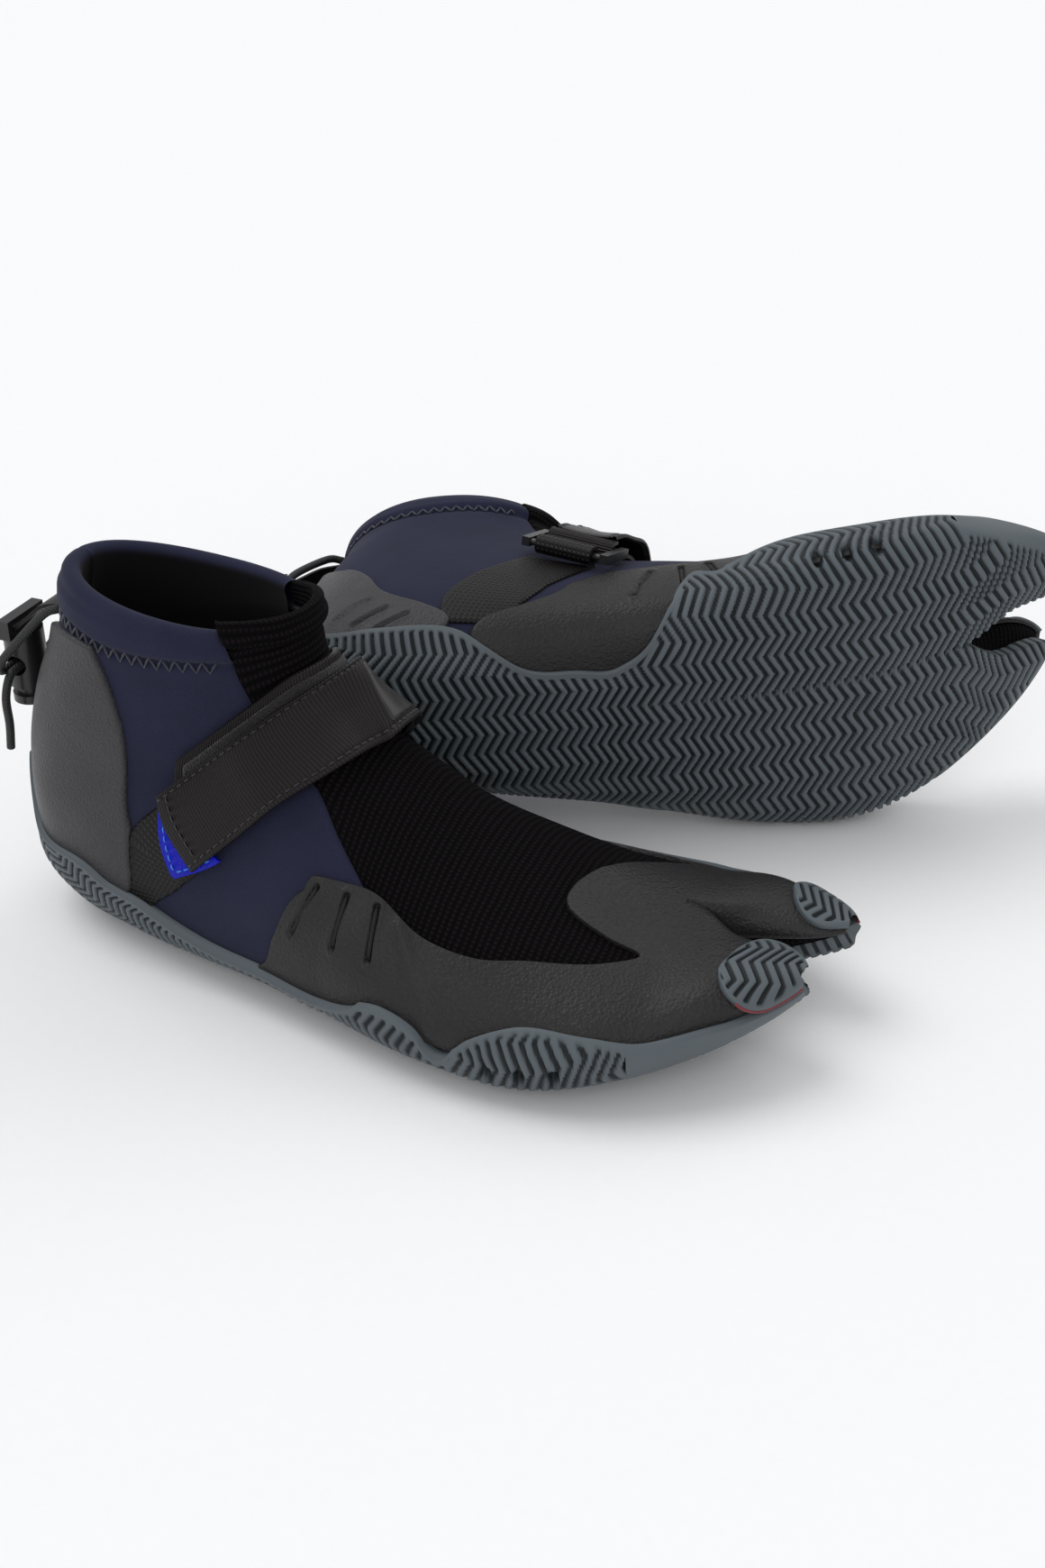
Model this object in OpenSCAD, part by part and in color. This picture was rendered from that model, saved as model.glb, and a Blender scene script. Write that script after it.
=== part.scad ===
// Pair of split-toe neoprene reef boots, adult size: panels, sole, strap, toe caps and heel cord lock.
// The right boot stands on its sole; the left boot is its mirror image, lying on its outer side.
// Units are millimetres, +Z is up, +X runs from heel to toe, and the origin is on the ground
// under the middle of the right heel.
//
// Every panel lies on one smooth surface, the outside of the neoprene. A place on it is (u, t):
//   u  below 0: degrees a section is swung back about the ankle; above 0: mm ahead of the ankle
//   t  0 on the instep ridge, 0.25 outer side, 0.5 under the foot or behind the heel, 0.75 inner side
// A frame is [point, outward normal]; a layer is a sheet between two distances from the surface.

/* [Boot shape] */
// Heel to big toe, mm
boot_length = 285; // [250:1:310]
// Width of the boot against its length
boot_girth = 1; // [0.92:0.01:1.08]

/* [Layers] */
// Thickness of the neoprene panels, mm
neoprene = 2; // [1.5:0.1:3]
// Thickness of the leather-like overlays, mm
overlay = 1; // [0.8:0.1:1.2]
// Space left between stacked layers, mm
layer_gap = 0.6; // [0.5:0.05:0.7]
// Distance from the neoprene to the inside of the rubber sole, mm
sole_inside = 2.7; // [2.5:0.1:2.8]
// Thickness of the rubber sole wall, mm
sole_wall = 1.6; // [1.4:0.1:2.4]
// Thickness of the rubber sole underfoot, mm
sole_under = 3; // [2.8:0.1:4.5]
// Thickness of the inner footbed, mm
footbed = 2.8; // [2:0.1:4]

/* [Strap] */
// Width of the instep strap, mm
strap_width = 28; // [22:1:32]
// Thickness of the strap webbing, mm
webbing = 1.2; // [1:0.1:1.5]
// Thickness of the hook and loop pads, mm
pad = 0.7; // [0.5:0.1:1]
// Wire diameter of the strap ring, mm
ring_wire = 2.6; // [2:0.1:3]

/* [Heel cord] */
// Diameter of the elastic cord, mm
cord = 3; // [2.4:0.1:3.2]
// Outer diameter of the cord lock barrel, mm
barrel = 14; // [13:0.5:16]
// Diameter of the cord lock plunger, mm
plunger = 10; // [9:0.5:10]
// How far the plunger can be pressed in, mm
plunger_travel = 2.5; // [1:0.5:2.5]

/* [Left boot] */
// Turn of the lying left boot about the vertical, degrees
left_turn = 28.9; // [20:0.1:35]
// Distance of the left boot ahead of the right one, mm
left_ahead = 78; // [70:1:100]
// Distance of the left boot to the inner side of the right one, mm
left_aside = 50; // [50:1:90]

/* [Hidden] */
size = boot_length / 285;
wide = size * boot_girth;
ankle = [90, 118];        // x and z of the point the ankle sections swing about
toe_split = 100;          // u where the toes part
small_tip = 141;          // u at the end of the small-toe lobe
big_tip = 149;            // u at the end of the big-toe lobe
left_roll = -87.8;        // lean of the lying left boot onto its outer side
left_pitch = -1.6;        // rise of its toes
left_height = 60.2;       // height of its heel point over the ground
arc_share = 0.7;          // share of a toe lobe's outline that lies on the outside of the foot

// Distance from the ankle to the sole line, [u, mm]
sole_line = [
  [-100, 112.5], [-90, 114], [-82, 119.5], [-75, 130], [-66, 144], [-58, 155], [-52, 161], [-46, 157],
  [-38, 143.5], [-28, 129], [-14, 115.5], [0, 113], [35, 113], [70, 113], [95, 107.5], [115, 103],
  [132, 95.5], [150, 87]
];
// Distance from the ankle to the instep ridge
ridge_line = [
  [-100, 24], [-90, 23.5], [-75, 24], [-60, 24.5], [-30, 28], [0, 38], [25, 56], [50, 67.5], [80, 76.5],
  [105, 79.5], [125, 81], [150, 84]
];
// Half width on the outer side of the foot
outer_line = [
  [-100, 31], [-75, 30], [-60, 32], [-30, 42], [0, 53], [25, 58], [50, 60.5], [65, 60], [85, 56],
  [105, 46], [122, 33], [136, 19], [150, 3]
];
// Half width on the inner side of the foot
inner_line = [
  [-100, 31], [-75, 30], [-45, 33], [-15, 31], [0, 33], [25, 38], [50, 45.5], [65, 48.5], [85, 50],
  [105, 47.5], [122, 41], [136, 34], [150, 25]
];
// Sideways place of the ridge and of the sole's middle; both follow the toe split at the front
ridge_side = [[-60, 0], [0, 4], [40, 9], [100, 8], [150, 14]];
sole_side = [[-60, 0], [40, 0], [100, 8], [150, 14]];
// Level of the widest point between ridge and sole
widest = [[-100, 0.5], [-75, 0.52], [-55, 0.56], [-30, 0.66], [0, 0.72], [60, 0.74], [150, 0.62]];
// Squareness of the upper and lower half of a section, 2 is an ellipse
upper_square = [[-100, 2.1], [0, 1.8], [60, 1.85], [150, 2.1]];
lower_square = [[-100, 2.1], [-50, 2.6], [-30, 3.2], [80, 3.6], [150, 2.8]];
// Sides of the toe lobes, [u, mm from the middle]: gap side and foot side of each
small_gap_side = [[100, 7], [112, 2], [125, 5], [141, 6]];
small_foot_side = [[100, -48], [112, -41], [122, -34], [132, -26], [141, -18]];
big_gap_side = [[100, 9], [112, 13], [125, 13.5], [149, 15]];
big_foot_side = [[100, 48], [112, 45], [122, 41.5], [136, 37], [149, 32]];

// Upper edge of the rubber sole on each side, [u, t]
outer_rim = [
  [-64, 0.455], [-57, 0.42], [-51, 0.33], [-44, 0.305], [-20, 0.31], [0, 0.29], [25, 0.235],
  [36, 0.24], [45, 0.265], [54, 0.225], [66, 0.195], [90, 0.2], [106, 0.225], [124, 0.25], [150, 0.27]
];
inner_rim = [
  [-64, 0.545], [-58, 0.57], [-51, 0.607], [-45, 0.633], [-40, 0.642], [-35, 0.632], [-31, 0.6],
  [-26, 0.555], [-18, 0.538], [-10, 0.536], [-5, 0.575], [-1, 0.66], [6, 0.735], [18, 0.745], [36, 0.79],
  [54, 0.81], [90, 0.8], [106, 0.79], [124, 0.76], [150, 0.73]
];
// Seam between the knit instep panel and the two quarters, [u, t on the outer side]
instep_seam = [
  [-100, 0.162], [-79, 0.136], [-53, 0.108], [-33, 0.103], [-13, 0.105], [6, 0.135], [40, 0.19], [100, 0.22]
];
// Half width of the stitched-in bottom sock, [u, t]
bottom_half = [[-58, 0.002], [-50, 0.035], [-40, 0.055], [100, 0.055]];
// Half width of the stiffening board, narrow in the arch, [u, t]
board_half = [[-30, 0.018], [0, 0.018], [22, 0.042], [100, 0.045]];
// Rear edge of the forefoot overlay from the inner side across to the outer side, [t, u]
overlay_rear = [
  [-0.475, -27], [-0.44, -30], [-0.4, -32.5], [-0.36, -34], [-0.325, -33], [-0.3, -29.5], [-0.27, -25],
  [-0.24, -20.5], [-0.215, -12], [-0.2, 6], [-0.182, 34], [-0.155, 64], [-0.12, 92], [-0.08, 85],
  [-0.04, 76], [0, 70], [0.035, 66], [0.058, 68], [0.072, 82], [0.086, 95], [0.104, 84], [0.122, 64],
  [0.142, 47], [0.152, 20], [0.16, -3], [0.18, -7], [0.2, -10], [0.24, -12], [0.275, -13], [0.31, -15],
  [0.345, -17]
];
// Path of the strap from beyond its free end over the instep to the two bars of its ring, [u, t]
strap_path = [
  [-43, 0.262], [-42.5, 0.215], [-39, 0.14], [-31, 0.06], [-24, -0.02], [-22, -0.09], [-25.5, -0.156],
  [-27.5, -0.187]
];

overlay_low = layer_gap;
overlay_high = layer_gap + overlay;
sole_edge_high = sole_inside + sole_wall;
sole_high = sole_inside + sole_under;
strap_low = overlay_high + 0.35;               // lower run of the strap, over the anchors
strap_pad = strap_low + webbing + 0.1;         // loop pad on top of it
strap_hook = strap_pad + pad + 0.1;            // hook pad facing the loop pad
strap_top = strap_hook + pad + 0.1;            // returning run of the strap
strap_end = 1 / 7;                             // places along strap_path: free end of the strap,
ring_near = 6 / 7;                             // ring bar that carries the strap
ring_far = 1;                                  // ring bar held by the anchor
ring_lift = 5.7;                               // height of the ring bars over the neoprene
hem_high = -neoprene - cord - 1.3;               // turned-in collar hem, inside the cord channel
hem_low = hem_high - 1.4;
cord_depth = -neoprene - cord / 2 - 0.65;

navy = [0.2, 0.21, 0.29];
knit_black = [0.08, 0.06, 0.08];
overlay_grey = [0.28, 0.27, 0.28];
heel_grey = [0.36, 0.36, 0.37];
rubber_grey = [0.38, 0.42, 0.44];
web_black = [0.14, 0.12, 0.13];
plastic_black = [0.05, 0.05, 0.06];
tab_blue = [0.05, 0.08, 0.75];
foam_grey = [0.5, 0.5, 0.52];
spring_steel = [0.7, 0.7, 0.72];

// ---------- curves and the boot surface ----------

function mix(a, b, w) = a + (b - a) * w;
function clamp(x, a, b) = min(max(x, a), b);
function smooth(x) = let(c = clamp(x, 0, 1)) c * c * (3 - 2 * c);
function unit(v) = v / norm(v);
function power(x, p) = sign(x) * pow(abs(x), p);

// Place of x in a [place, value] list
function span_at(tab, x, i = 0) = i >= len(tab) - 2 || x < tab[i + 1][0] ? i : span_at(tab, x, i + 1);
function step_at(tab, i) = tab[i + 1][0] - tab[i][0];
function slope_at(tab, i) = (tab[i + 1][1] - tab[i][1]) / step_at(tab, i);
function tangent_at(tab, i) =
  i == 0 ? slope_at(tab, 0)
  : i == len(tab) - 1 ? slope_at(tab, i - 1)
  : (slope_at(tab, i - 1) * step_at(tab, i) + slope_at(tab, i) * step_at(tab, i - 1))
    / (tab[i + 1][0] - tab[i - 1][0]);
// Value of the smooth curve through a [place, value] list, held level past both ends
function along(tab, place) =
  let(
    x = clamp(place, tab[0][0], tab[len(tab) - 1][0]),
    i = span_at(tab, x),
    h = step_at(tab, i),
    s = (x - tab[i][0]) / h
  )
  tab[i][1] * (1 - s) * (1 - s) * (1 + 2 * s) + tab[i + 1][1] * s * s * (3 - 2 * s)
  + h * tangent_at(tab, i) * s * (1 - s) * (1 - s) - h * tangent_at(tab, i + 1) * s * s * (1 - s);

// Point of the boot surface
function skin(u, turn) =
  let(
    t = turn - floor(turn),
    outer = t < 0.5,
    half = outer ? t : 1 - t,
    upper = half < 0.25,
    a = 360 * (upper ? half : half - 0.25),
    up = 2 / along(upper_square, u),
    down = 2 / along(lower_square, u),
    near = along(ridge_line, u),
    far = along(sole_line, u),
    level = mix(near, far, along(widest, u)),
    edge = outer ? -along(outer_line, u) : along(inner_line, u),
    top = along(ridge_side, u),
    under = along(sole_side, u),
    y = upper ? mix(top, edge, power(sin(a), up)) : mix(under, edge, power(cos(a), down)),
    r = upper ? mix(level, near, power(cos(a), up)) : mix(level, far, power(sin(a), down)),
    swing = max(-u, 0)
  )
  [
    (ankle[0] + max(u, 0) - r * sin(swing)) * size,
    y * wide,
    (ankle[1] - r * cos(swing)) * size
  ];

// Point of a toe lobe, side -1 for the small toes and 1 for the big toe. q runs once round the
// lobe: 0 to arc_share follows t from the ridge over the outside to the sole, the rest is the gap wall
function lobe_outline(side, u, q) =
  let(
    tip = side < 0 ? small_tip : big_tip,
    reach = clamp((u - toe_split) / (tip - toe_split), 0, 1),
    parted = smooth((u - toe_split) / 26),
    on_arc = q <= arc_share,
    s = on_arc ? q / arc_share : (q - arc_share) / (1 - arc_share),
    half = on_arc ? skin(u, side < 0 ? s / 2 : 1 - s / 2) : mix(skin(u, 0.5), skin(u, 0), s),
    turn = on_arc ? 50 + 260 * s : 310 + 100 * s,
    gap_edge = along(side < 0 ? small_gap_side : big_gap_side, u) * wide,
    foot_edge = along(side < 0 ? small_foot_side : big_foot_side, u) * wide,
    top = skin(u, 0)[2],
    under = skin(u, 0.5)[2],
    middle = [half[0], (gap_edge + foot_edge) / 2, (top + under) / 2],
    oval = middle + [
      0,
      (gap_edge - foot_edge) / 2 * power(cos(turn), 0.85),
      (top - under) / 2 * power(sin(turn), 0.85)
    ],
    closing = sqrt(1 - pow(reach, 5)),
    open = mix(half, oval, parted)
  )
  [open[0], mix(middle[1], open[1], closing), mix(middle[2], open[2], closing)];
// The same with the outside of the foot on the same hand as t for both lobes
function lobe(side, u, q) = lobe_outline(side, u, side < 0 ? q : 1 - q);
// Place round a lobe that matches t on the foot
function lobe_place(side, t) = side < 0 ? 2 * arc_share * t : 1 - 2 * arc_share * (1 - t);

// Frame [point, outward normal] of a shape given as a function of (u, v)
function frame(shape, u, v, du = 0.4, dv = 0.003) =
  [shape(u, v), unit(cross(shape(u, v + dv) - shape(u, v - dv), shape(u + du, v) - shape(u - du, v)))];
function skin_frame(u, t) = frame(function(a, b) skin(a, b), u, t);
function lobe_frame(side, u, q) = frame(function(a, b) lobe(side, a, b), u, q);
// Lobe frame whose normal never leans into the toe gap
function outward_lobe_frame(side, u, q) =
  let(f = lobe_frame(side, u, q))
  [f[0], unit([f[1][0], side * max(0, side * f[1][1]), f[1][2]])];

// ---------- sheets ----------

// Rows of u for long panels, closer together round the heel corner
function rows_between(first, last) =
  let(stations = concat(
    [for (u = [-85:8:-69]) u],
    [for (u = [-63:3.2:-43]) u],
    [for (u = [-37:11:-4]) u],
    [for (u = [6:11.5:98]) u]
  ))
  concat([first], [for (u = stations) if (u > first + 2 && u < last - 3) u], [last]);

// Points at one distance from every frame of a grid; the distance may vary with the frame's grid place
function layer_points(grid, distance) =
  [
    for (i = [0:len(grid) - 1]) for (j = [0:len(grid[i]) - 1])
      let(d = is_num(distance) ? distance : distance(i, j))
      grid[i][j][0] + grid[i][j][1] * d
  ];
// Two triangles for a four-sided face given by its corner numbers
function quad(a, b, c, d) = [[a, b, c], [a, c, d]];
// Faces of a sheet of rows x cols points whose inner layer starts at point number base;
// start, finish and sides say which edges are walled; round joins the last column to the first
function sheet_faces(rows, cols, base = 0, start = true, finish = true, sides = true, round = false) =
  let(
    out = base + rows * cols,
    last = round ? cols - 1 : cols - 2,
    across = function(j) (j + 1) % cols,
    at = function(layer, i, j) layer + i * cols + j
  )
  [
    for (i = [0:rows - 2]) for (j = [0:last])
      for (f = concat(
        quad(at(out, i, j), at(out, i + 1, j), at(out, i + 1, across(j)), at(out, i, across(j))),
        quad(at(base, i, j), at(base, i, across(j)), at(base, i + 1, across(j)), at(base, i + 1, j))
      )) f,
    if (sides && !round) for (i = [0:rows - 2])
      for (f = concat(
        quad(at(out, i + 1, 0), at(out, i, 0), at(base, i, 0), at(base, i + 1, 0)),
        quad(
          at(out, i, cols - 1), at(out, i + 1, cols - 1),
          at(base, i + 1, cols - 1), at(base, i, cols - 1)
        )
      )) f,
    if (start) for (j = [0:last])
      for (f = quad(at(out, 0, j), at(out, 0, across(j)), at(base, 0, across(j)), at(base, 0, j))) f,
    if (finish) for (j = [0:last])
      for (f = quad(
        at(out, rows - 1, across(j)), at(out, rows - 1, j),
        at(base, rows - 1, j), at(base, rows - 1, across(j))
      )) f
  ];
// One sheet between two distances from a grid of frames
module sheet(grid, low, high, round = false)
  polyhedron(
    points = concat(layer_points(grid, low), layer_points(grid, high)),
    faces = sheet_faces(len(grid), len(grid[0]), round = round),
    convexity = 8
  );
// Sheet that covers the foot up to the toe split and runs on over both toe lobes. The front row of
// the foot grid is shared: lobe_a carries on its first columns, lobe_b the rest
module forked_sheet(foot, lobe_a, lobe_b, low, high) {
  front = foot[len(foot) - 1];
  cols_a = len(lobe_a[0]);
  cols_b = len(lobe_b[0]);
  grid_a = concat([[for (j = [0:cols_a - 1]) front[j]]], lobe_a);
  grid_b = concat([[for (j = [0:cols_b - 1]) front[cols_a - 1 + j]]], lobe_b);
  after_foot = 2 * len(foot) * len(front);
  after_a = after_foot + 2 * len(grid_a) * cols_a;
  shifted = function(distance, shift) is_num(distance) ? distance : function(i, j) distance(i, j + shift);
  polyhedron(
    points = concat(
      layer_points(foot, low), layer_points(foot, high),
      layer_points(grid_a, low), layer_points(grid_a, high),
      layer_points(grid_b, shifted(low, cols_a - 1)), layer_points(grid_b, shifted(high, cols_a - 1))
    ),
    faces = concat(
      sheet_faces(len(foot), len(front), 0, finish = false),
      sheet_faces(len(grid_a), cols_a, after_foot, start = false),
      sheet_faces(len(grid_b), cols_b, after_a, start = false)
    ),
    convexity = 10
  );
}
// Smooth edge through [u, t] points, s from 0 to 1
function edge_at(edge, s) =
  let(x = s * (len(edge) - 1))
  [for (k = [0, 1]) along([for (i = [0:len(edge) - 1]) [i, edge[i][k]]], x)];
// Grid of skin frames between two edges
function patch(edge_a, edge_b, rows, cols) =
  [
    for (i = [0:rows])
      let(a = edge_at(edge_a, i / rows), b = edge_at(edge_b, i / rows))
      [for (j = [0:cols]) skin_frame(mix(a[0], b[0], j / cols), mix(a[1], b[1], j / cols))]
  ];
lobe_steps = 6;
// Rows of u over a toe lobe, closer together towards its tip
function lobe_rows(side, count, reach = 0.99) =
  let(tip = side < 0 ? small_tip : big_tip)
  [for (k = [1:count]) toe_split + (tip - toe_split) * reach * sin(90 * k / count)];
// Steps in u and t for each mm across a path on the surface
function across_step(path, s) =
  let(
    here = edge_at(path, s),
    back = edge_at(path, s - 0.01),
    ahead = edge_at(path, s + 0.01),
    f = skin_frame(here[0], here[1]),
    run = unit(skin(ahead[0], ahead[1]) - skin(back[0], back[1])),
    side = cross(run, f[1]),
    by_u = (skin(here[0] + 0.5, here[1]) - skin(here[0] - 0.5, here[1])),
    by_t = (skin(here[0], here[1] + 0.002) - skin(here[0], here[1] - 0.002)) / 0.004,
    uu = by_u * by_u,
    ut = by_u * by_t,
    tt = by_t * by_t,
    det = uu * tt - ut * ut
  )
  [(side * by_u * tt - side * by_t * ut) / det, (side * by_t * uu - side * by_u * ut) / det];
// Grid of frames along a strip of a path; columns are fractions of its half width
function strip(path, first, last, width, columns, taper = 1) =
  let(
    step = 1 / 35,
    inner_rows = [for (s = [0:step:1]) if (s > first + step / 3 && s < last - step / 3) s],
    rows = concat([first], inner_rows, [last])
  )
  [
    for (s = rows)
      let(
        c = edge_at(path, s),
        a = across_step(path, s),
        w = width / 2 * mix(taper, 1, (s - first) / (last - first))
      )
      [for (k = columns) skin_frame(c[0] + a[0] * w * k, c[1] + a[1] * w * k)]
  ];
full_width = [-1, -0.84, 0, 0.84, 1];
pad_width = [-0.84, 0, 0.84];

// Round cord through a list of points
function cord_frame(points, i) =
  let(
    run = unit(points[min(i + 1, len(points) - 1)] - points[max(i - 1, 0)]),
    side = unit(cross(run, abs(run[0]) < 0.9 ? [1, 0, 0] : [0, 1, 0]))
  )
  [side, cross(run, side)];
module tube(points, diameter, sides = 6) {
  rings = [
    for (i = [0:len(points) - 1])
      let(f = cord_frame(points, i))
      for (k = [0:sides - 1])
        let(turn = 360 * k / sides)
        points[i] + diameter / 2 * (f[0] * cos(turn) + f[1] * sin(turn))
  ];
  last = (len(points) - 1) * sides;
  walls = [
    for (i = [0:len(points) - 2])
      for (k = [0:sides - 1])
        let(here = i * sides, ahead = (i + 1) * sides, beside = (k + 1) % sides)
        for (f = quad(here + k, ahead + k, ahead + beside, here + beside)) f
  ];
  ends = concat(
    [for (k = [1:sides - 2]) [0, k, k + 1]],
    [for (k = [1:sides - 2]) [last, last + k + 1, last + k]]
  );
  polyhedron(points = rings, faces = concat(walls, ends), convexity = 6);
}
// Smooth run of points through a few 3-D points
function curve_points(knots, count) =
  [
    for (i = [0:count])
      [for (k = [0:2]) along([for (j = [0:len(knots) - 1]) [j, knots[j][k]]], i / count * (len(knots) - 1))]
  ];

// ---------- upper ----------

// Height of the collar rim, lower at the front and on the inner side
function rim_u(t) = -92 + 3.2 * cos(360 * t) - 1.5 * sin(360 * t);
// The knit panel stands up above the rest of the collar
function panel_rim_u(t) = -98 - 14 * cos(360 * 1.5 * t);
// Gap between the two quarters behind the heel and the bottom sock under the foot
function quarter_low(u) = 0.5 - along(bottom_half, u) - 0.004;
panel_rows = rows_between(-89, toe_split - 0.8);
quarter_cols = 9;
instep_cols = 7;
// Quarter for the outer side (-1) or the inner side (1)
module quarter(side) {
  grid = [
    for (u = panel_rows)
      [
        for (j = [0:quarter_cols])
          let(
            far = quarter_low(u),
            seam = along(instep_seam, u) + 0.002,
            w = j / quarter_cols,
            t = side < 0 ? mix(seam, far, w) : 1 - mix(far, seam, w),
            first = u == panel_rows[0]
          )
          skin_frame(first ? rim_u(t) : u, t)
      ]
  ];
  eyelet = skin_frame(-87, side < 0 ? 0.456 : 0.544);
  color(navy) difference() {
    sheet(grid, -neoprene, 0);
    translate(eyelet[0]) rotate([0, 90, 0]) cylinder(d = cord + 2.8, h = 16, center = true, $fn = 24);
  }
}
module instep_panel() {
  grid = [
    for (u = panel_rows)
      [
        for (j = [0:instep_cols])
          let(seam = along(instep_seam, u) - 0.002, t = mix(-seam, seam, j / instep_cols))
          skin_frame(u == panel_rows[0] ? panel_rim_u(t) : u, t)
      ]
  ];
  color(knit_black) sheet(grid, -neoprene, 0);
}
module bottom_sock() {
  grid = [
    for (u = rows_between(-57, toe_split - 0.8))
      [for (w = [-1, 0, 1]) skin_frame(u, 0.5 + along(bottom_half, u) * w)]
  ];
  color(knit_black) sheet(grid, -neoprene, 0);
}
// Closed tube of neoprene round one toe lobe
module toe_sock(side) {
  rows = concat([toe_split + 0.8], lobe_rows(side, lobe_steps, 0.88));
  cols = 12;
  grid = [for (u = rows) [for (j = [0:cols - 1]) lobe_frame(side, u, j / cols)]];
  last = len(rows) - 1;
  out = len(rows) * cols;
  color(knit_black) polyhedron(
    points = concat(layer_points(grid, -neoprene - 0.3), layer_points(grid, -0.3)),
    faces = concat(
      sheet_faces(len(rows), cols, finish = false, round = true),
      [for (j = [1:cols - 2]) [last * cols, last * cols + j, last * cols + j + 1]],
      [for (j = [1:cols - 2]) [out + last * cols, out + last * cols + j + 1, out + last * cols + j]]
    ),
    convexity = 6
  );
}
// Turned-in hem that carries the elastic cord round the collar
module collar_hem() {
  cols = 25;
  grid = [
    for (k = [0:2])
      [for (j = [0:cols - 1]) let(t = j / cols) skin_frame(mix(rim_u(t) + 0.5, -80, k / 2), t)]
  ];
  color(navy) sheet(grid, hem_low, hem_high, round = true);
}
insole_gap = 0.5;
module insole() {
  grid = [
    for (u = rows_between(-36, toe_split - 2))
      [for (w = [-1, 0, 1]) skin_frame(u, 0.5 + (along(bottom_half, u) - 0.008) * w)]
  ];
  color(foam_grey) sheet(grid, -neoprene - insole_gap - footbed, -neoprene - insole_gap);
}
module midsole_board() {
  grid = [
    for (u = rows_between(-30, toe_split - 6))
      [for (w = [-1, 0, 1]) skin_frame(u, 0.5 + along(board_half, u) * w)]
  ];
  color(foam_grey) sheet(grid, layer_gap, sole_inside - layer_gap);
}

// ---------- overlays ----------

// Front edges of the heel overlay from top to bottom on the outer and the inner side, [u, t]
heel_outer = [
  [-86, 0.31], [-75, 0.264], [-63, 0.243], [-53, 0.245], [-46, 0.258], [-41.5, 0.29], [-41, 0.35]
];
heel_inner = [
  [-67, 0.64], [-63, 0.67], [-57, 0.69], [-49, 0.697], [-43, 0.694], [-38, 0.668], [-38, 0.61]
];
heel_bow = [7, 16];   // how much further back the middles of the upper and the lower edge lie
module heel_overlay() {
  rows = 15;
  cols = 13;
  grid = [
    for (i = [0:rows])
      let(
        s = i / rows,
        a = edge_at(heel_outer, s),
        b = edge_at(heel_inner, s),
        bow = heel_bow[0] * (1 - s) * (1 - s) + heel_bow[1] * s * s
      )
      [
        for (j = [0:cols])
          let(w = j / cols)
          skin_frame(mix(a[0], b[0], w) - bow * 4 * w * (1 - w), mix(a[1], b[1], w))
      ]
  ];
  color(heel_grey) sheet(grid, overlay_low, overlay_high);
}
overlay_steps = 10;
wing_root = 0.2;       // columns of the overlay beyond this t are drawn in ahead of the wings
wing_drawn_in = 0.38;
function overlay_t(u, t) =
  abs(t) < wing_root ? t
  : sign(t) * (wing_root + (abs(t) - wing_root) * mix(1, wing_drawn_in, smooth((u + 12) / 39)));
module forefoot_overlay() {
  inner = [for (p = overlay_rear) if (p[0] <= 0) overlay_t(toe_split, p[0])];
  outer = [for (p = overlay_rear) if (p[0] >= 0) overlay_t(toe_split, p[0])];
  foot = [
    for (i = [0:overlay_steps])
      [
        for (p = overlay_rear)
          let(u = mix(p[1], toe_split, i / overlay_steps))
          skin_frame(u, overlay_t(u, p[0]))
      ]
  ];
  big = [for (u = lobe_rows(1, lobe_steps)) [for (t = inner) lobe_frame(1, u, lobe_place(1, 1 + t))]];
  small = [for (u = lobe_rows(-1, lobe_steps)) [for (t = outer) lobe_frame(-1, u, lobe_place(-1, t))]];
  color(overlay_grey) difference() {
    forked_sheet(foot, big, small, overlay_low, overlay_high);
    for (side = [-1, 1]) for (k = [0:2]) wing_slot(side, k);
  }
}
// One of the three slots pressed through each wing of the forefoot overlay
module wing_slot(side, k) {
  top = [-3 + 9.5 * k, side < 0 ? 0.168 - 0.01 * k : 0.778 + 0.006 * k];
  foot = [-7.5 + 12.5 * k, side < 0 ? 0.223 - 0.0135 * k : 0.722 + 0.012 * k];
  ends = [for (p = [top, foot]) skin_frame(p[0], p[1])];
  run = ends[1][0] - ends[0][0];
  normal = unit(ends[0][1] + ends[1][1]);
  along_slot = unit(run);
  cross_slot = unit(cross(normal, along_slot));
  middle = (ends[0][0] + ends[1][0]) / 2;
  multmatrix([for (r = [0:2]) [along_slot[r], cross_slot[r], normal[r], middle[r]]])
    cube([norm(run), 1.6, 12], center = true);
}
module outer_anchor() {
  front = [[-33, 0.195], [-34.5, 0.245], [-37, 0.29]];
  rear = [[-48, 0.195], [-45.5, 0.235], [-39.5, 0.285]];
  color(web_black) sheet(patch(front, rear, 5, 3), overlay_low, overlay_high);
}

// ---------- sole ----------

sole_cols = 7;
arch_rows = [-31, -26, -19, -13, -9, -5, -1, 4, 11, 18, 26];
function sole_t(u, j) =
  j <= sole_cols
  ? mix(along(outer_rim, u), 0.5, j / sole_cols)
  : mix(0.5, along(inner_rim, u), j / sole_cols - 1);
module outsole() {
  rows = concat(rows_between(-64, -36), arch_rows, [for (u = [36:10:toe_split - 3]) u], [toe_split]);
  foot = [for (u = rows) [for (j = [0:2 * sole_cols]) skin_frame(u, sole_t(u, j))]];
  small = [
    for (u = lobe_rows(-1, lobe_steps))
      [for (j = [0:sole_cols]) outward_lobe_frame(-1, u, lobe_place(-1, sole_t(u, j)))]
  ];
  big = [
    for (u = lobe_rows(1, lobe_steps))
      [for (j = [sole_cols:2 * sole_cols]) outward_lobe_frame(1, u, lobe_place(1, sole_t(u, j)))]
  ];
  underfoot = function(i, j) mix(sole_edge_high, sole_high, smooth(1.6 - abs(j / sole_cols - 1) * 2));
  color(rubber_grey) difference() {
    forked_sheet(foot, small, big, sole_inside, underfoot);
    translate([-200, -200, -50]) cube([500, 400, 50]);
    for (side = [-1, 1]) for (k = [0:2]) drain_hole(side, k);
  }
}
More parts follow.
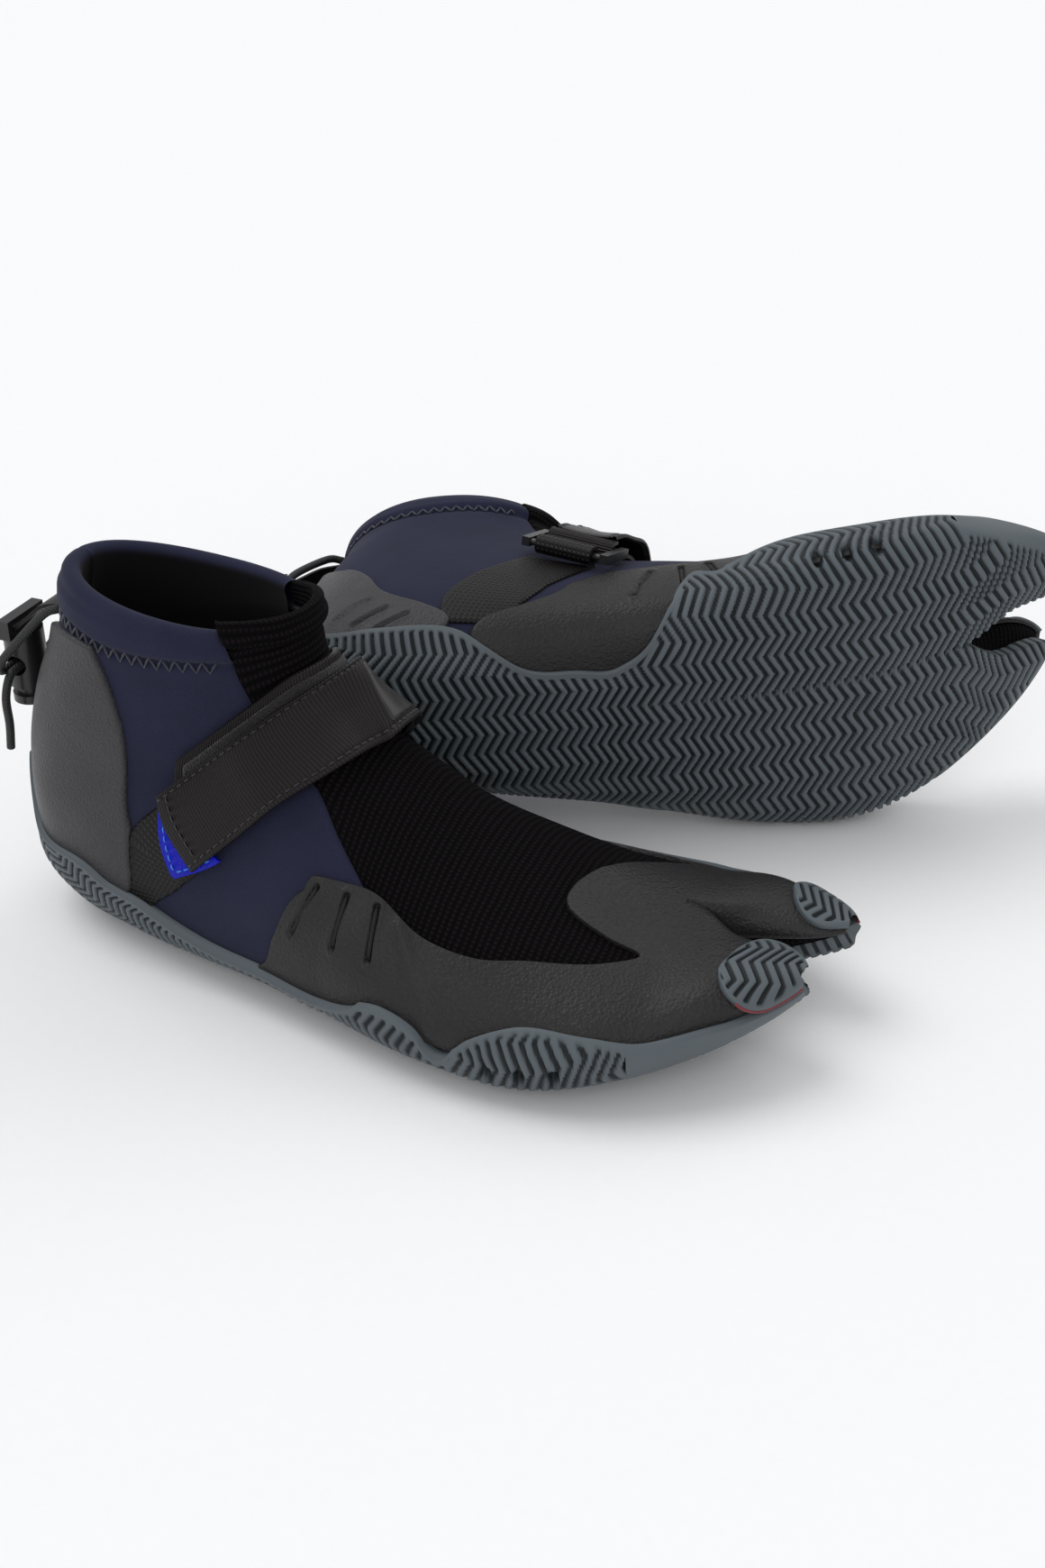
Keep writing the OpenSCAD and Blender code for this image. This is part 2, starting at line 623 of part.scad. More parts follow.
// Holes through the side wall of the sole that let water out
drain_bore = 3.6;
module drain_hole(side, k) {
  at = skin_frame(side < 0 ? 61 + 10 * k : 50 + 10 * k, 0.5 + side * 0.2);
  translate(at[0]) rotate([-side * 90, 0, 0]) cylinder(d = drain_bore, h = 12, $fn = 24);
}
// Rubber flap folded up over the tip of a toe lobe
module toe_bumper(side) {
  tip = side < 0 ? small_tip : big_tip;
  first = tip - 20;
  rows = [for (k = [0:5]) first + (toe_split + (tip - toe_split) * 0.99 - first) * sin(90 * k / 5)];
  low_edge = lobe_place(side, side < 0 ? along(outer_rim, 130) - 0.012 : along(inner_rim, 130) + 0.012);
  gap_edge = side < 0 ? 0.02 : 0.98;
  grid = [
    for (i = [0:5])
      let(round_off = -sign(side) * 0.06 * (1 - sin(90 * i / 5)))
      [
        for (j = [0:6])
          let(w = side < 0 ? j / 6 : 1 - j / 6)
          lobe_frame(side, rows[i], mix(gap_edge + round_off, low_edge - round_off, w))
      ]
  ];
  color(rubber_grey) sheet(grid, sole_inside - 0.3, sole_edge_high - 0.3);
}

// ---------- strap ----------

// Frames of the two ring bars, as [place, normal, side]
function ring_bar(s) =
  let(
    p = edge_at(strap_path, s),
    q = edge_at(strap_path, s - 0.03),
    f = skin_frame(p[0], p[1]),
    run = unit(f[0] - skin(q[0], q[1]))
  )
  [f[0] + f[1] * ring_lift, f[1], unit(cross(f[1], run))];
near_bar = ring_bar(ring_near);
far_bar = ring_bar(ring_far);
ring_side = unit(near_bar[2] + far_bar[2]);
ring_reach = norm(far_bar[0] - near_bar[0] - ring_side * ((far_bar[0] - near_bar[0]) * ring_side));
ring_run = unit(far_bar[0] - near_bar[0] - ring_side * ((far_bar[0] - near_bar[0]) * ring_side));
ring_up = cross(ring_run, ring_side);
// Puts children in the ring's own frame: x from the near bar to the far bar, y along the bars, z outward
module at_ring()
  multmatrix([for (r = [0:2]) [ring_run[r], ring_side[r], ring_up[r], near_bar[0][r]]]) children();
// Bent strip round a bar along y, between two angles measured from x towards z
module wrap(inner, outer, from, to, width)
  rotate([90, 0, 0]) rotate([0, 0, from]) rotate_extrude(angle = to - from, $fn = 48)
    translate([inner, -width / 2]) square([outer - inner, width]);
module strap_ring() {
  side_bar = [ring_reach + ring_wire + 1, 3.2, ring_wire + 0.8];
  half = strap_width / 2 + 2.4;
  color(plastic_black) at_ring() {
    for (x = [0, ring_reach])
      translate([x, 0, 0]) rotate([90, 0, 0]) cylinder(d = ring_wire, h = 2 * half, center = true, $fn = 32);
    for (y = [-half, half])
      translate([ring_reach / 2, y, 0]) cube(side_bar, center = true);
  }
}
// Webbing sewn to the inner side of the foot, with a loop round the ring's far bar
module inner_anchor() {
  loop_inner = ring_wire / 2 + 0.9;
  loop_outer = loop_inner + 1.4;
  top = edge_at(strap_path, ring_far);
  step = across_step(strap_path, 0.985) * (strap_width / 2 - 2);
  rear_top = [top[0] + step[0], top[1] + 1 + step[1]];
  front_top = [top[0] - step[0], top[1] + 1 - step[1]];
  rear = rear_top[0] < front_top[0] ? rear_top : front_top;
  front = rear_top[0] < front_top[0] ? front_top : rear_top;
  color(web_black) union() {
    sheet(
      patch([rear, [-41, 0.745], [-39, 0.7]], [front, [-28, 0.745], [-31, 0.705]], 5, 3),
      overlay_low, overlay_high
    );
    at_ring() translate([ring_reach, 0, 0]) {
      rotate([90, 0, 0]) difference() {
        cylinder(r = loop_outer, h = strap_width - 5, center = true, $fn = 32);
        cylinder(r = loop_inner, h = strap_width, center = true, $fn = 32);
      }
      translate([-1.5, 6 - strap_width / 2, 0.8 - ring_lift])
        cube([3, strap_width - 12, ring_lift - 0.8 - loop_inner - 0.4]);
    }
  }
}
module strap_lower()
  color(web_black) sheet(
    strip(strap_path, strap_end + 0.03, ring_near - 0.06, strap_width, full_width),
    strap_low, strap_low + webbing
  );
module loop_pad()
  color(knit_black) sheet(
    strip(strap_path, strap_end + 0.05, 0.6, strap_width, pad_width),
    strap_pad, strap_pad + pad
  );
module hook_pad()
  color(plastic_black) sheet(
    strip(strap_path, strap_end + 0.02, 0.4, strap_width, pad_width),
    strap_hook, strap_hook + pad
  );
// Height of the returning strap: level over the pads, rising to the top of the ring bar
wrap_inner = ring_wire / 2 + 1.3;
module strap_flap() {
  grid = strip(strap_path, strap_end, ring_near, strap_width, full_width);
  last = len(grid) - 1;
  rise = ring_lift + wrap_inner + 0.25 - strap_top;
  climb = function(i) smooth((i - last + 7) / 7);
  color(web_black) union() {
    sheet(
      grid,
      function(i, j) strap_top + rise * climb(i),
      function(i, j) strap_top + webbing + (rise - 0.1) * climb(i)
    );
    at_ring() wrap(wrap_inner, wrap_inner + 1.6, -95, 112, strap_width - 0.6);
  }
}
module pull_tab()
  color(tab_blue) sheet(
    strip(strap_path, 0.01, strap_end - 0.012, 24, pad_width, taper = 0.45),
    strap_hook, strap_hook + webbing
  );

// ---------- heel cord ----------

collar_back = skin_frame(-86, 0.5);
lock_place = collar_back[0] + [-23, 0, -25];
hinge_place = collar_back[0] + [-2.2, 0, 0];
barrel_low = -9;
barrel_top = 12;
bore_top = 10.2;
loop_top = 18;
cord_gap = cord + 0.3;              // distance between the two strands in the lock
module at_lock() translate(lock_place) children();
module cord_lock_body() {
  lug = [4.4, 20, loop_top - barrel_top + 1];
  slot = [6, 15.6, 2.6];
  color(plastic_black) at_lock() difference() {
    union() {
      translate([0, 0, barrel_low]) cylinder(d = barrel, h = barrel_top - barrel_low, $fn = 48);
      translate([-lug[0] / 2, -lug[1] / 2, barrel_top - 1]) cube(lug);
    }
    translate([0, 0, barrel_low - 1]) cylinder(d = plunger + 0.6, h = bore_top - barrel_low + 1, $fn = 48);
    rotate([90, 0, 0]) cylinder(d = cord * 2 + 1.4, h = barrel + 2, center = true, $fn = 32);
    translate([-slot[0] / 2, -slot[1] / 2, barrel_top + 1.6]) cube(slot);
  }
}
module cord_lock_plunger() {
  cap = 3;
  stem_top = 4;
  window = [2 * cord + 1.4, plunger + 2, cord + 1.2 + plunger_travel];
  color(plastic_black) at_lock() difference() {
    union() {
      translate([0, 0, barrel_low - plunger_travel - 0.6 - cap]) cylinder(d = barrel - 1, h = cap, $fn = 48);
      translate([0, 0, barrel_low - plunger_travel - 1.6])
        cylinder(d = plunger, h = stem_top - barrel_low + plunger_travel + 1.6, $fn = 48);
    }
    translate([-window[0] / 2, -window[1] / 2, cord / 2 + 0.6 - window[2]]) cube(window);
  }
}
module cord_lock_spring() {
  turns = 3.5;
  wire = 0.8;
  steps = 8;
  low = 4 + wire / 2 + 0.15;
  high = bore_top - wire / 2 - 0.15;
  color(spring_steel) at_lock() tube(
    [
      for (k = [0:turns * steps])
        [3.2 * cos(360 * k / steps), 3.2 * sin(360 * k / steps), mix(low, high, k / (turns * steps))]
    ],
    wire, 5
  );
}
// Webbing from the collar to the lug of the cord lock
module heel_loop() {
  width = 15;
  start = hinge_place - lock_place;
  slot_level = barrel_top + 2.9;
  bends = 14;
  route = [
    [start[0], start[2] + 0.8], [start[0] - 6, start[2]], [7, slot_level + 3.5], [2.6, slot_level],
    [-2.6, slot_level], [-5.4, slot_level - 0.6]
  ];
  route_part = function(c) [for (i = [0:len(route) - 1]) [i, route[i][c]]];
  points = [
    for (k = [0:bends])
      let(stop = k / bends * (len(route) - 1))
      [along(route_part(0), stop), along(route_part(1), stop)]
  ];
  side = [
    for (k = [0:bends])
      let(run = unit(points[min(k + 1, bends)] - points[max(k - 1, 0)]))
      [-run[1], run[0]] * webbing / 2
  ];
  color(web_black) at_lock() rotate([90, 0, 0]) translate([0, 0, -width / 2]) linear_extrude(width)
    polygon(concat([for (k = [0:bends]) points[k] + side[k]], [for (k = [bends:-1:0]) points[k] - side[k]]));
}
// Elastic cord in the collar channel; both ends leave through eyelets behind the heel
module drawcord() {
  first = 0.544;
  stub = [1.5, 0, -1.6, -3];
  around = [
    for (k = [1:23])
      let(t = mix(first, 1.456, k / 24), f = skin_frame(rim_u(t) + 8, t))
      f[0] + f[1] * cord_depth
  ];
  color(plastic_black) tube(
    concat(
      [for (d = stub) skin(-87, first) - [d, 0, 0]],
      around,
      [for (k = [len(stub) - 1:-1:0]) skin(-87, 0.456) - [stub[k], 0, 0]]
    ),
    cord
  );
}
// Strand of the cord from an eyelet through the lock to its loose tail
module cord_end(side) {
  eyelet = skin_frame(-87, 0.5 + side * 0.044)[0] - lock_place + [-4.5, 0, 0];
  x = side * cord_gap / 2;
  color(plastic_black) at_lock() tube(
    curve_points([
      eyelet, eyelet + [-5, side * 2, -4], [x + 4, side * 15, 7], [x, side * 12.5, 0.6], [x, side * 8, 0],
      [x, 0, 0], [x, -side * 8, 0], [x - 0.6, -side * 12, -1.6], [x - 1.5, -side * 14.5, -9],
      [x - 3, -side * 13, -20], [x - 5, -side * 12, -30]
    ], 19),
    cord
  );
}

// ---------- the pair ----------

module right() children();
// The left boot lies on its outer side
module left()
  translate([left_ahead, left_aside, left_height]) rotate([left_roll, left_pitch, left_turn])
    mirror([0, 1, 0]) children();
module right_outsole() right() outsole();
module right_small_toe_bumper() right() toe_bumper(-1);
module right_big_toe_bumper() right() toe_bumper(1);
module right_bottom_sock() right() bottom_sock();
module right_midsole_board() right() midsole_board();
module right_insole() right() insole();
module right_outer_quarter() right() quarter(-1);
module right_inner_quarter() right() quarter(1);
module right_instep_panel() right() instep_panel();
module right_small_toe_sock() right() toe_sock(-1);
module right_big_toe_sock() right() toe_sock(1);
module right_collar_hem() right() collar_hem();
module right_forefoot_overlay() right() forefoot_overlay();
module right_heel_overlay() right() heel_overlay();
module right_outer_anchor() right() outer_anchor();
module right_inner_anchor() right() inner_anchor();
module right_strap_ring() right() strap_ring();
module right_strap_lower() right() strap_lower();
module right_loop_pad() right() loop_pad();
module right_strap_flap() right() strap_flap();
module right_hook_pad() right() hook_pad();
module right_pull_tab() right() pull_tab();
module right_drawcord() right() drawcord();
module right_heel_loop() right() heel_loop();
module right_cord_lock() right() cord_lock_body();
module right_lock_plunger() right() cord_lock_plunger();
module right_lock_spring() right() cord_lock_spring();
module right_outer_cord_end() right() cord_end(-1);
module right_inner_cord_end() right() cord_end(1);
module left_outsole() left() outsole();
module left_small_toe_bumper() left() toe_bumper(-1);
module left_big_toe_bumper() left() toe_bumper(1);
module left_bottom_sock() left() bottom_sock();
module left_midsole_board() left() midsole_board();
module left_insole() left() insole();
module left_outer_quarter() left() quarter(-1);
module left_inner_quarter() left() quarter(1);
module left_instep_panel() left() instep_panel();
module left_small_toe_sock() left() toe_sock(-1);
module left_big_toe_sock() left() toe_sock(1);
module left_collar_hem() left() collar_hem();
module left_forefoot_overlay() left() forefoot_overlay();
module left_heel_overlay() left() heel_overlay();
module left_outer_anchor() left() outer_anchor();
module left_inner_anchor() left() inner_anchor();
module left_strap_ring() left() strap_ring();
module left_strap_lower() left() strap_lower();
module left_loop_pad() left() loop_pad();
module left_strap_flap() left() strap_flap();
module left_hook_pad() left() hook_pad();
module left_pull_tab() left() pull_tab();
module left_drawcord() left() drawcord();
module left_heel_loop() left() heel_loop();
module left_cord_lock() left() cord_lock_body();
module left_lock_plunger() left() cord_lock_plunger();
module left_lock_spring() left() cord_lock_spring();
module left_outer_cord_end() left() cord_end(-1);
module left_inner_cord_end() left() cord_end(1);

right_outsole();
right_small_toe_bumper();
right_big_toe_bumper();
right_bottom_sock();
right_midsole_board();
right_insole();
right_outer_quarter();
right_inner_quarter();
right_instep_panel();
right_small_toe_sock();
right_big_toe_sock();
right_collar_hem();
right_forefoot_overlay();
right_heel_overlay();
right_outer_anchor();
right_inner_anchor();
right_strap_ring();
right_strap_lower();
right_loop_pad();
right_strap_flap();
right_hook_pad();
right_pull_tab();
right_drawcord();
right_heel_loop();
right_cord_lock();
right_lock_plunger();
right_lock_spring();
right_outer_cord_end();
right_inner_cord_end();
left_outsole();
left_small_toe_bumper();
left_big_toe_bumper();
left_bottom_sock();
left_midsole_board();
left_insole();
left_outer_quarter();
left_inner_quarter();
left_instep_panel();
left_small_toe_sock();
left_big_toe_sock();
left_collar_hem();
left_forefoot_overlay();
left_heel_overlay();
left_outer_anchor();
left_inner_anchor();
left_strap_ring();
left_strap_lower();
left_loop_pad();
left_strap_flap();
left_hook_pad();
left_pull_tab();
left_drawcord();
left_heel_loop();
left_cord_lock();
left_lock_plunger();
left_lock_spring();
left_outer_cord_end();
left_inner_cord_end();
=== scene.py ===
"""Pair of split-toe neoprene reef boots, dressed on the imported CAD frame.

Shapes are worked out once, in millimetres, in the right boot's own frame: +X from heel to toe, +Y to the
inner side, +Z up. A Boot puts them into the row frame in metres; the left boot is the mirror image lying
on its outer side. Every panel lies on one surface, the outside of the neoprene, and a place on it is (u, t):
  u  below 0: degrees a section is swung back about the ankle; above 0: mm ahead of the ankle
  t  0 on the instep ridge, 0.25 outer side, 0.5 under the foot or behind the heel, 0.75 inner side
"""

import math

import bpy
import numpy as np
from mathutils import Euler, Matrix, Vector


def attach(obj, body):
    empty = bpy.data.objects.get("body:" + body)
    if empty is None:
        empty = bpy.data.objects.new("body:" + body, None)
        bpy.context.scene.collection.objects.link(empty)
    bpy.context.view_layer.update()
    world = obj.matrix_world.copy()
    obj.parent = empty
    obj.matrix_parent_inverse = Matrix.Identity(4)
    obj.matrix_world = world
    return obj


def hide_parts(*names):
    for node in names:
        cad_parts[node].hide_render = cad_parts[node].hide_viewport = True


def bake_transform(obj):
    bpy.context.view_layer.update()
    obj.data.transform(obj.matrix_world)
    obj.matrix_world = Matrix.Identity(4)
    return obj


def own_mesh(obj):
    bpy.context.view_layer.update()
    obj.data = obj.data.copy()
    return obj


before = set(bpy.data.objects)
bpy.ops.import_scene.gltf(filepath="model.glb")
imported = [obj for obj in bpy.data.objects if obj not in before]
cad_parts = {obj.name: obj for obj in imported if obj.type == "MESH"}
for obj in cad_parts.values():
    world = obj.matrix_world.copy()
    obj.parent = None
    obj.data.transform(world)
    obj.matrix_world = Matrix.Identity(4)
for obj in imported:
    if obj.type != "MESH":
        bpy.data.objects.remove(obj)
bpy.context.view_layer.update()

# ---------- driving dimensions, mm ----------

MM = 0.001
NEOPRENE = 2.0
OVERLAY_LOW = 0.5
OVERLAY_HIGH = 1.6
SOLE_INSIDE = 2.3
SOLE_EDGE_HIGH = 4.3
SOLE_HIGH = 5.7
TREAD_PITCH = 3.7
TREAD_PERIOD = 15.0
TREAD_SWING = 4.6
STRAP_WIDTH = 28.0
WEBBING = 1.2
CORD = 3.0
COLLAR_ROLL = 3.3
ANKLE = (90.0, 118.0)
TOE_SPLIT = 100.0
TIP = {-1: 141.0, 1: 149.0}
ARC_SHARE = 0.7
LEFT_TURN = (-87.8, -1.6, 28.9)
LEFT_PLACE = (78.0, 50.0, 60.2)

# ---------- the boot surface ----------

SOLE_LINE = [
    (-100, 112.5), (-90, 114), (-82, 119.5), (-75, 130), (-66, 144), (-58, 155), (-52, 161), (-46, 157),
    (-38, 143.5), (-28, 129), (-14, 115.5), (0, 113), (35, 113), (70, 113), (95, 107.5), (115, 103),
    (132, 95.5), (150, 87),
]
RIDGE_LINE = [
    (-100, 24), (-90, 23.5), (-75, 24), (-60, 24.5), (-30, 28), (0, 38), (25, 56), (50, 67.5), (80, 76.5),
    (105, 79.5), (125, 81), (150, 84),
]
OUTER_LINE = [
    (-100, 31), (-75, 30), (-60, 32), (-30, 42), (0, 53), (25, 58), (50, 60.5), (65, 60), (85, 56),
    (105, 46), (122, 33), (136, 19), (150, 3),
]
INNER_LINE = [
    (-100, 31), (-75, 30), (-45, 33), (-15, 31), (0, 33), (25, 38), (50, 45.5), (65, 48.5), (85, 50),
    (105, 47.5), (122, 41), (136, 34), (150, 25),
]
RIDGE_SIDE = [(-60, 0), (0, 4), (40, 9), (100, 8), (150, 14)]
SOLE_SIDE = [(-60, 0), (40, 0), (100, 8), (150, 14)]
WIDEST = [(-100, 0.5), (-75, 0.52), (-55, 0.56), (-30, 0.66), (0, 0.72), (60, 0.74), (150, 0.62)]
UPPER_SQUARE = [(-100, 2.1), (0, 1.8), (60, 1.85), (150, 2.1)]
LOWER_SQUARE = [(-100, 2.1), (-50, 2.6), (-30, 3.2), (80, 3.6), (150, 2.8)]
GAP_SIDE = {
    -1: [(100, 7), (112, 2), (125, 5), (141, 6)],
    1: [(100, 9), (112, 13), (125, 13.5), (149, 15)],
}
FOOT_SIDE = {
    -1: [(100, -48), (112, -41), (122, -34), (132, -26), (141, -18)],
    1: [(100, 48), (112, 45), (122, 41.5), (136, 37), (149, 32)],
}
OUTER_RIM = [
    (-64, 0.455), (-57, 0.42), (-51, 0.33), (-44, 0.305), (-20, 0.31), (0, 0.29), (25, 0.235),
    (36, 0.24), (45, 0.265), (54, 0.225), (66, 0.195), (90, 0.2), (106, 0.225), (124, 0.25), (150, 0.27),
]
INNER_RIM = [
    (-64, 0.545), (-58, 0.57), (-51, 0.607), (-45, 0.633), (-40, 0.642), (-35, 0.632), (-31, 0.6),
    (-26, 0.555), (-18, 0.538), (-10, 0.536), (-5, 0.575), (-1, 0.66), (6, 0.735), (18, 0.745), (36, 0.79),
    (54, 0.81), (90, 0.8), (106, 0.79), (124, 0.76), (150, 0.73),
]
INSTEP_SEAM = [
    (-100, 0.162), (-79, 0.136), (-53, 0.108), (-33, 0.103), (-13, 0.105), (6, 0.135), (40, 0.19), (100, 0.22),
]
# Rear edge of the forefoot overlay, (t, u), from the inner side across to the outer side
OVERLAY_REAR = [
    (-0.475, -27), (-0.44, -30), (-0.4, -32.5), (-0.36, -34), (-0.325, -33), (-0.3, -29.5), (-0.27, -25),
    (-0.24, -20.5), (-0.215, -12), (-0.2, 6), (-0.182, 34), (-0.155, 64), (-0.12, 92), (-0.08, 85),
    (-0.04, 76), (0, 70), (0.035, 66), (0.058, 68), (0.072, 82), (0.086, 95), (0.104, 84), (0.122, 64),
    (0.142, 47), (0.152, 20), (0.16, -3), (0.18, -7), (0.2, -10), (0.24, -12), (0.275, -13), (0.31, -15),
    (0.345, -17),
]
# Front edges of the heel overlay, from top to bottom
HEEL_OUTER = [(-86, 0.31), (-75, 0.264), (-63, 0.243), (-53, 0.245), (-46, 0.258), (-41.5, 0.29), (-41, 0.35)]
HEEL_INNER = [(-67, 0.64), (-63, 0.67), (-57, 0.69), (-49, 0.697), (-43, 0.694), (-38, 0.668), (-38, 0.61)]
HEEL_BOW = (7, 16)
STRAP_PATH = [
    (-43, 0.262), (-42.5, 0.215), (-39, 0.14), (-31, 0.06), (-24, -0.02), (-22, -0.09), (-25.5, -0.156),
    (-27.5, -0.187),
]
STRAP_END = 1 / 7
RING_NEAR = 6 / 7


def mix(a, b, w):
    return a + (b - a) * w


def smooth(x):
    c = np.clip(x, 0, 1)
    return c * c * (3 - 2 * c)


def unit(v):
    return v / np.maximum(np.linalg.norm(v, axis=-1, keepdims=True), 1e-12)


def along(table, place):
    """Value of the smooth curve through (place, value) rows, held level past both ends."""
    knots = np.array(table, float)
    x, y = knots[:, 0], knots[:, 1]
    step = np.diff(x)
    slope = np.diff(y) / step
    tangent = np.concatenate([slope[:1], slope[1:], slope[-1:]])
    tangent[1:-1] = (slope[:-1] * step[1:] + slope[1:] * step[:-1]) / (x[2:] - x[:-2])
    q = np.clip(np.asarray(place, float), x[0], x[-1])
    i = np.clip(np.searchsorted(x, q, side="right") - 1, 0, len(x) - 2)
    h = step[i]
    s = (q - x[i]) / h
    rest = 1 - s
    ends = y[i] * rest**2 * (1 + 2 * s) + y[i + 1] * s**2 * (3 - 2 * s)
    return ends + h * tangent[i] * s * rest**2 - h * tangent[i + 1] * s**2 * rest


def edge_at(edge, s):
    """Smooth edge through (u, t) points, s from 0 to 1."""
    x = np.asarray(s, float) * (len(edge) - 1)
    return [along([(k, point[part]) for k, point in enumerate(edge)], x) for part in (0, 1)]


def skin(u, turn):
    """Point of the boot surface."""
    u, turn = np.broadcast_arrays(np.asarray(u, float), np.asarray(turn, float))
    t = turn - np.floor(turn)
    outer = t < 0.5
    half = np.where(outer, t, 1 - t)
    upper = half < 0.25
    a = 2 * math.pi * np.where(upper, half, half - 0.25)
    near, far = along(RIDGE_LINE, u), along(SOLE_LINE, u)
    level = mix(near, far, along(WIDEST, u))
    edge = np.where(outer, -along(OUTER_LINE, u), along(INNER_LINE, u))
    up, down = 2 / along(UPPER_SQUARE, u), 2 / along(LOWER_SQUARE, u)
    sine, cosine = np.clip(np.sin(a), 0, 1), np.clip(np.cos(a), 0, 1)
    y = np.where(
        upper,
        mix(along(RIDGE_SIDE, u), edge, sine**up),
        mix(along(SOLE_SIDE, u), edge, cosine**down),
    )
    r = np.where(upper, mix(level, near, cosine**up), mix(level, far, sine**down))
    swing = np.radians(np.maximum(-u, 0))
    x = ANKLE[0] + np.maximum(u, 0) - r * np.sin(swing)
    return np.stack([x, y, ANKLE[1] - r * np.cos(swing)], -1)


def lobe(side, u, place):
    """Point of a toe lobe, side -1 for the small toes and 1 for the big toe."""
    u, place = np.broadcast_arrays(np.asarray(u, float), np.asarray(place, float))
    q = place if side < 0 else 1 - place
    q = q - np.floor(q)
    reach = np.clip((u - TOE_SPLIT) / (TIP[side] - TOE_SPLIT), 0, 1)
    parted = smooth((u - TOE_SPLIT) / 26)
    on_arc = q <= ARC_SHARE
    s = np.where(on_arc, q / ARC_SHARE, (q - ARC_SHARE) / (1 - ARC_SHARE))
    top, under = skin(u, 0.0), skin(u, 0.5)
    half = np.where(on_arc[..., None], skin(u, s / 2 if side < 0 else 1 - s / 2), mix(under, top, s[..., None]))
    turn = np.radians(np.where(on_arc, 50 + 260 * s, 310 + 100 * s))
    gap, foot = along(GAP_SIDE[side], u), along(FOOT_SIDE[side], u)
    cosine, sine = np.cos(turn), np.sin(turn)
    middle = np.stack([half[..., 0], (gap + foot) / 2, (top[..., 2] + under[..., 2]) / 2], -1)
    oval = middle + np.stack(
        [
            np.zeros_like(u),
            (gap - foot) / 2 * np.sign(cosine) * np.abs(cosine) ** 0.85,
            (top[..., 2] - under[..., 2]) / 2 * np.sign(sine) * np.abs(sine) ** 0.85,
        ],
        -1,
    )
    closing = np.sqrt(1 - reach**5)[..., None]
    open_form = mix(half, oval, parted[..., None])
    closed = mix(middle, open_form, closing)
    closed[..., 0] = open_form[..., 0]
    return closed


def lobe_place(side, t):
    return 2 * ARC_SHARE * t if side < 0 else 1 - 2 * ARC_SHARE * (1 - t)


def frames(shape, u, v, du=0.4, dv=0.003):
    """Points and outward normals of a shape given as a function of (u, v)."""
    across = shape(u, v + dv) - shape(u, v - dv)
    onward = shape(u + du, v) - shape(u - du, v)
    return shape(u, v), unit(np.cross(across, onward))


def skin_frames(u, t):
    u, t = np.broadcast_arrays(np.asarray(u, float), np.asarray(t, float))
    return frames(skin, u, t)


def lobe_frames(side, u, place):
    u, place = np.broadcast_arrays(np.asarray(u, float), np.asarray(place, float))
    return frames(lambda a, b: lobe(side, a, b), u, place)


def across_step(path, s):
    """Steps in u and t for each mm across a path on the surface."""
    u, t = edge_at(path, s)
    point, normal = skin_frames(u, t)
    run = unit(skin(*edge_at(path, s + 0.01)) - skin(*edge_at(path, s - 0.01)))
    side = np.cross(run, normal)
    by_u = skin(u + 0.5, t) - skin(u - 0.5, t)
    by_t = (skin(u, t + 0.002) - skin(u, t - 0.002)) / 0.004
    uu, ut, tt = (by_u * by_u).sum(-1), (by_u * by_t).sum(-1), (by_t * by_t).sum(-1)
    su, st = (side * by_u).sum(-1), (side * by_t).sum(-1)
    det = uu * tt - ut * ut
    return (su * tt - st * ut) / det, (st * uu - su * ut) / det


def strip_places(path, s, offset):
    """(u, t) places offset mm across a path; s runs down the rows, offset across the columns."""
    u, t = edge_at(path, s)
    step_u, step_t = across_step(path, s)
    offset = np.asarray(offset, float)
    return u[:, None] + step_u[:, None] * offset, t[:, None] + step_t[:, None] * offset


def strip_points(path, s, offset):
    """The same for single points, each with its own s and offset."""
    flat = s.ravel()
    u, t = edge_at(path, flat)
    step_u, step_t = across_step(path, flat)
    return (u + step_u * offset.ravel()).reshape(s.shape), (t + step_t * offset.ravel()).reshape(s.shape)


def between(first, last, step):
    return np.linspace(first, last, max(2, int(round(abs(last - first) / step)) + 1))


def arc_lengths(points, axis=0):
    """Distance run along an axis of a grid of points."""
    steps = np.linalg.norm(np.diff(points, axis=axis), axis=-1)
    start = np.zeros_like(np.take(steps, [0], axis))
    return np.concatenate([start, np.cumsum(steps, axis)], axis)


# ---------- forms and pieces ----------


class Form:
    """Points, faces and surface coordinates gathered for one piece."""

    def __init__(self):
        self.points, self.faces, self.uvs, self.depths = [], [], [], []
        self.count = 0

    def add(self, points, faces, uvs=None, depths=None):
        points = np.asarray(points, float).reshape(-1, 3)
        self.points.append(points)
        self.faces += [tuple(int(k) + self.count for k in face) for face in faces]
        self.uvs.append(np.zeros((len(points), 2)) if uvs is None else np.asarray(uvs, float).reshape(-1, 2))
        self.depths.append(np.zeros(len(points)) if depths is None else np.asarray(depths, float).ravel())
        self.count += len(points)
        return self


def grid_faces(rows, cols, around=False):
    i, j = np.meshgrid(np.arange(rows - 1), np.arange(cols if around else cols - 1), indexing="ij")
    nxt = (j + 1) % cols
    corners = [i * cols + j, i * cols + nxt, (i + 1) * cols + nxt, (i + 1) * cols + j]
    return np.stack(corners, -1).reshape(-1, 4)


def surface_places(points):
    """Coordinates in mm on a grid: down the rows, and across from the middle column."""
    down = arc_lengths(points, 0)
    middle = points.shape[1] // 2
    across = arc_lengths(points, 1)
    across = across - across[:, middle : middle + 1]
    return np.stack([np.broadcast_to(down[:, middle : middle + 1], across.shape), across], -1)


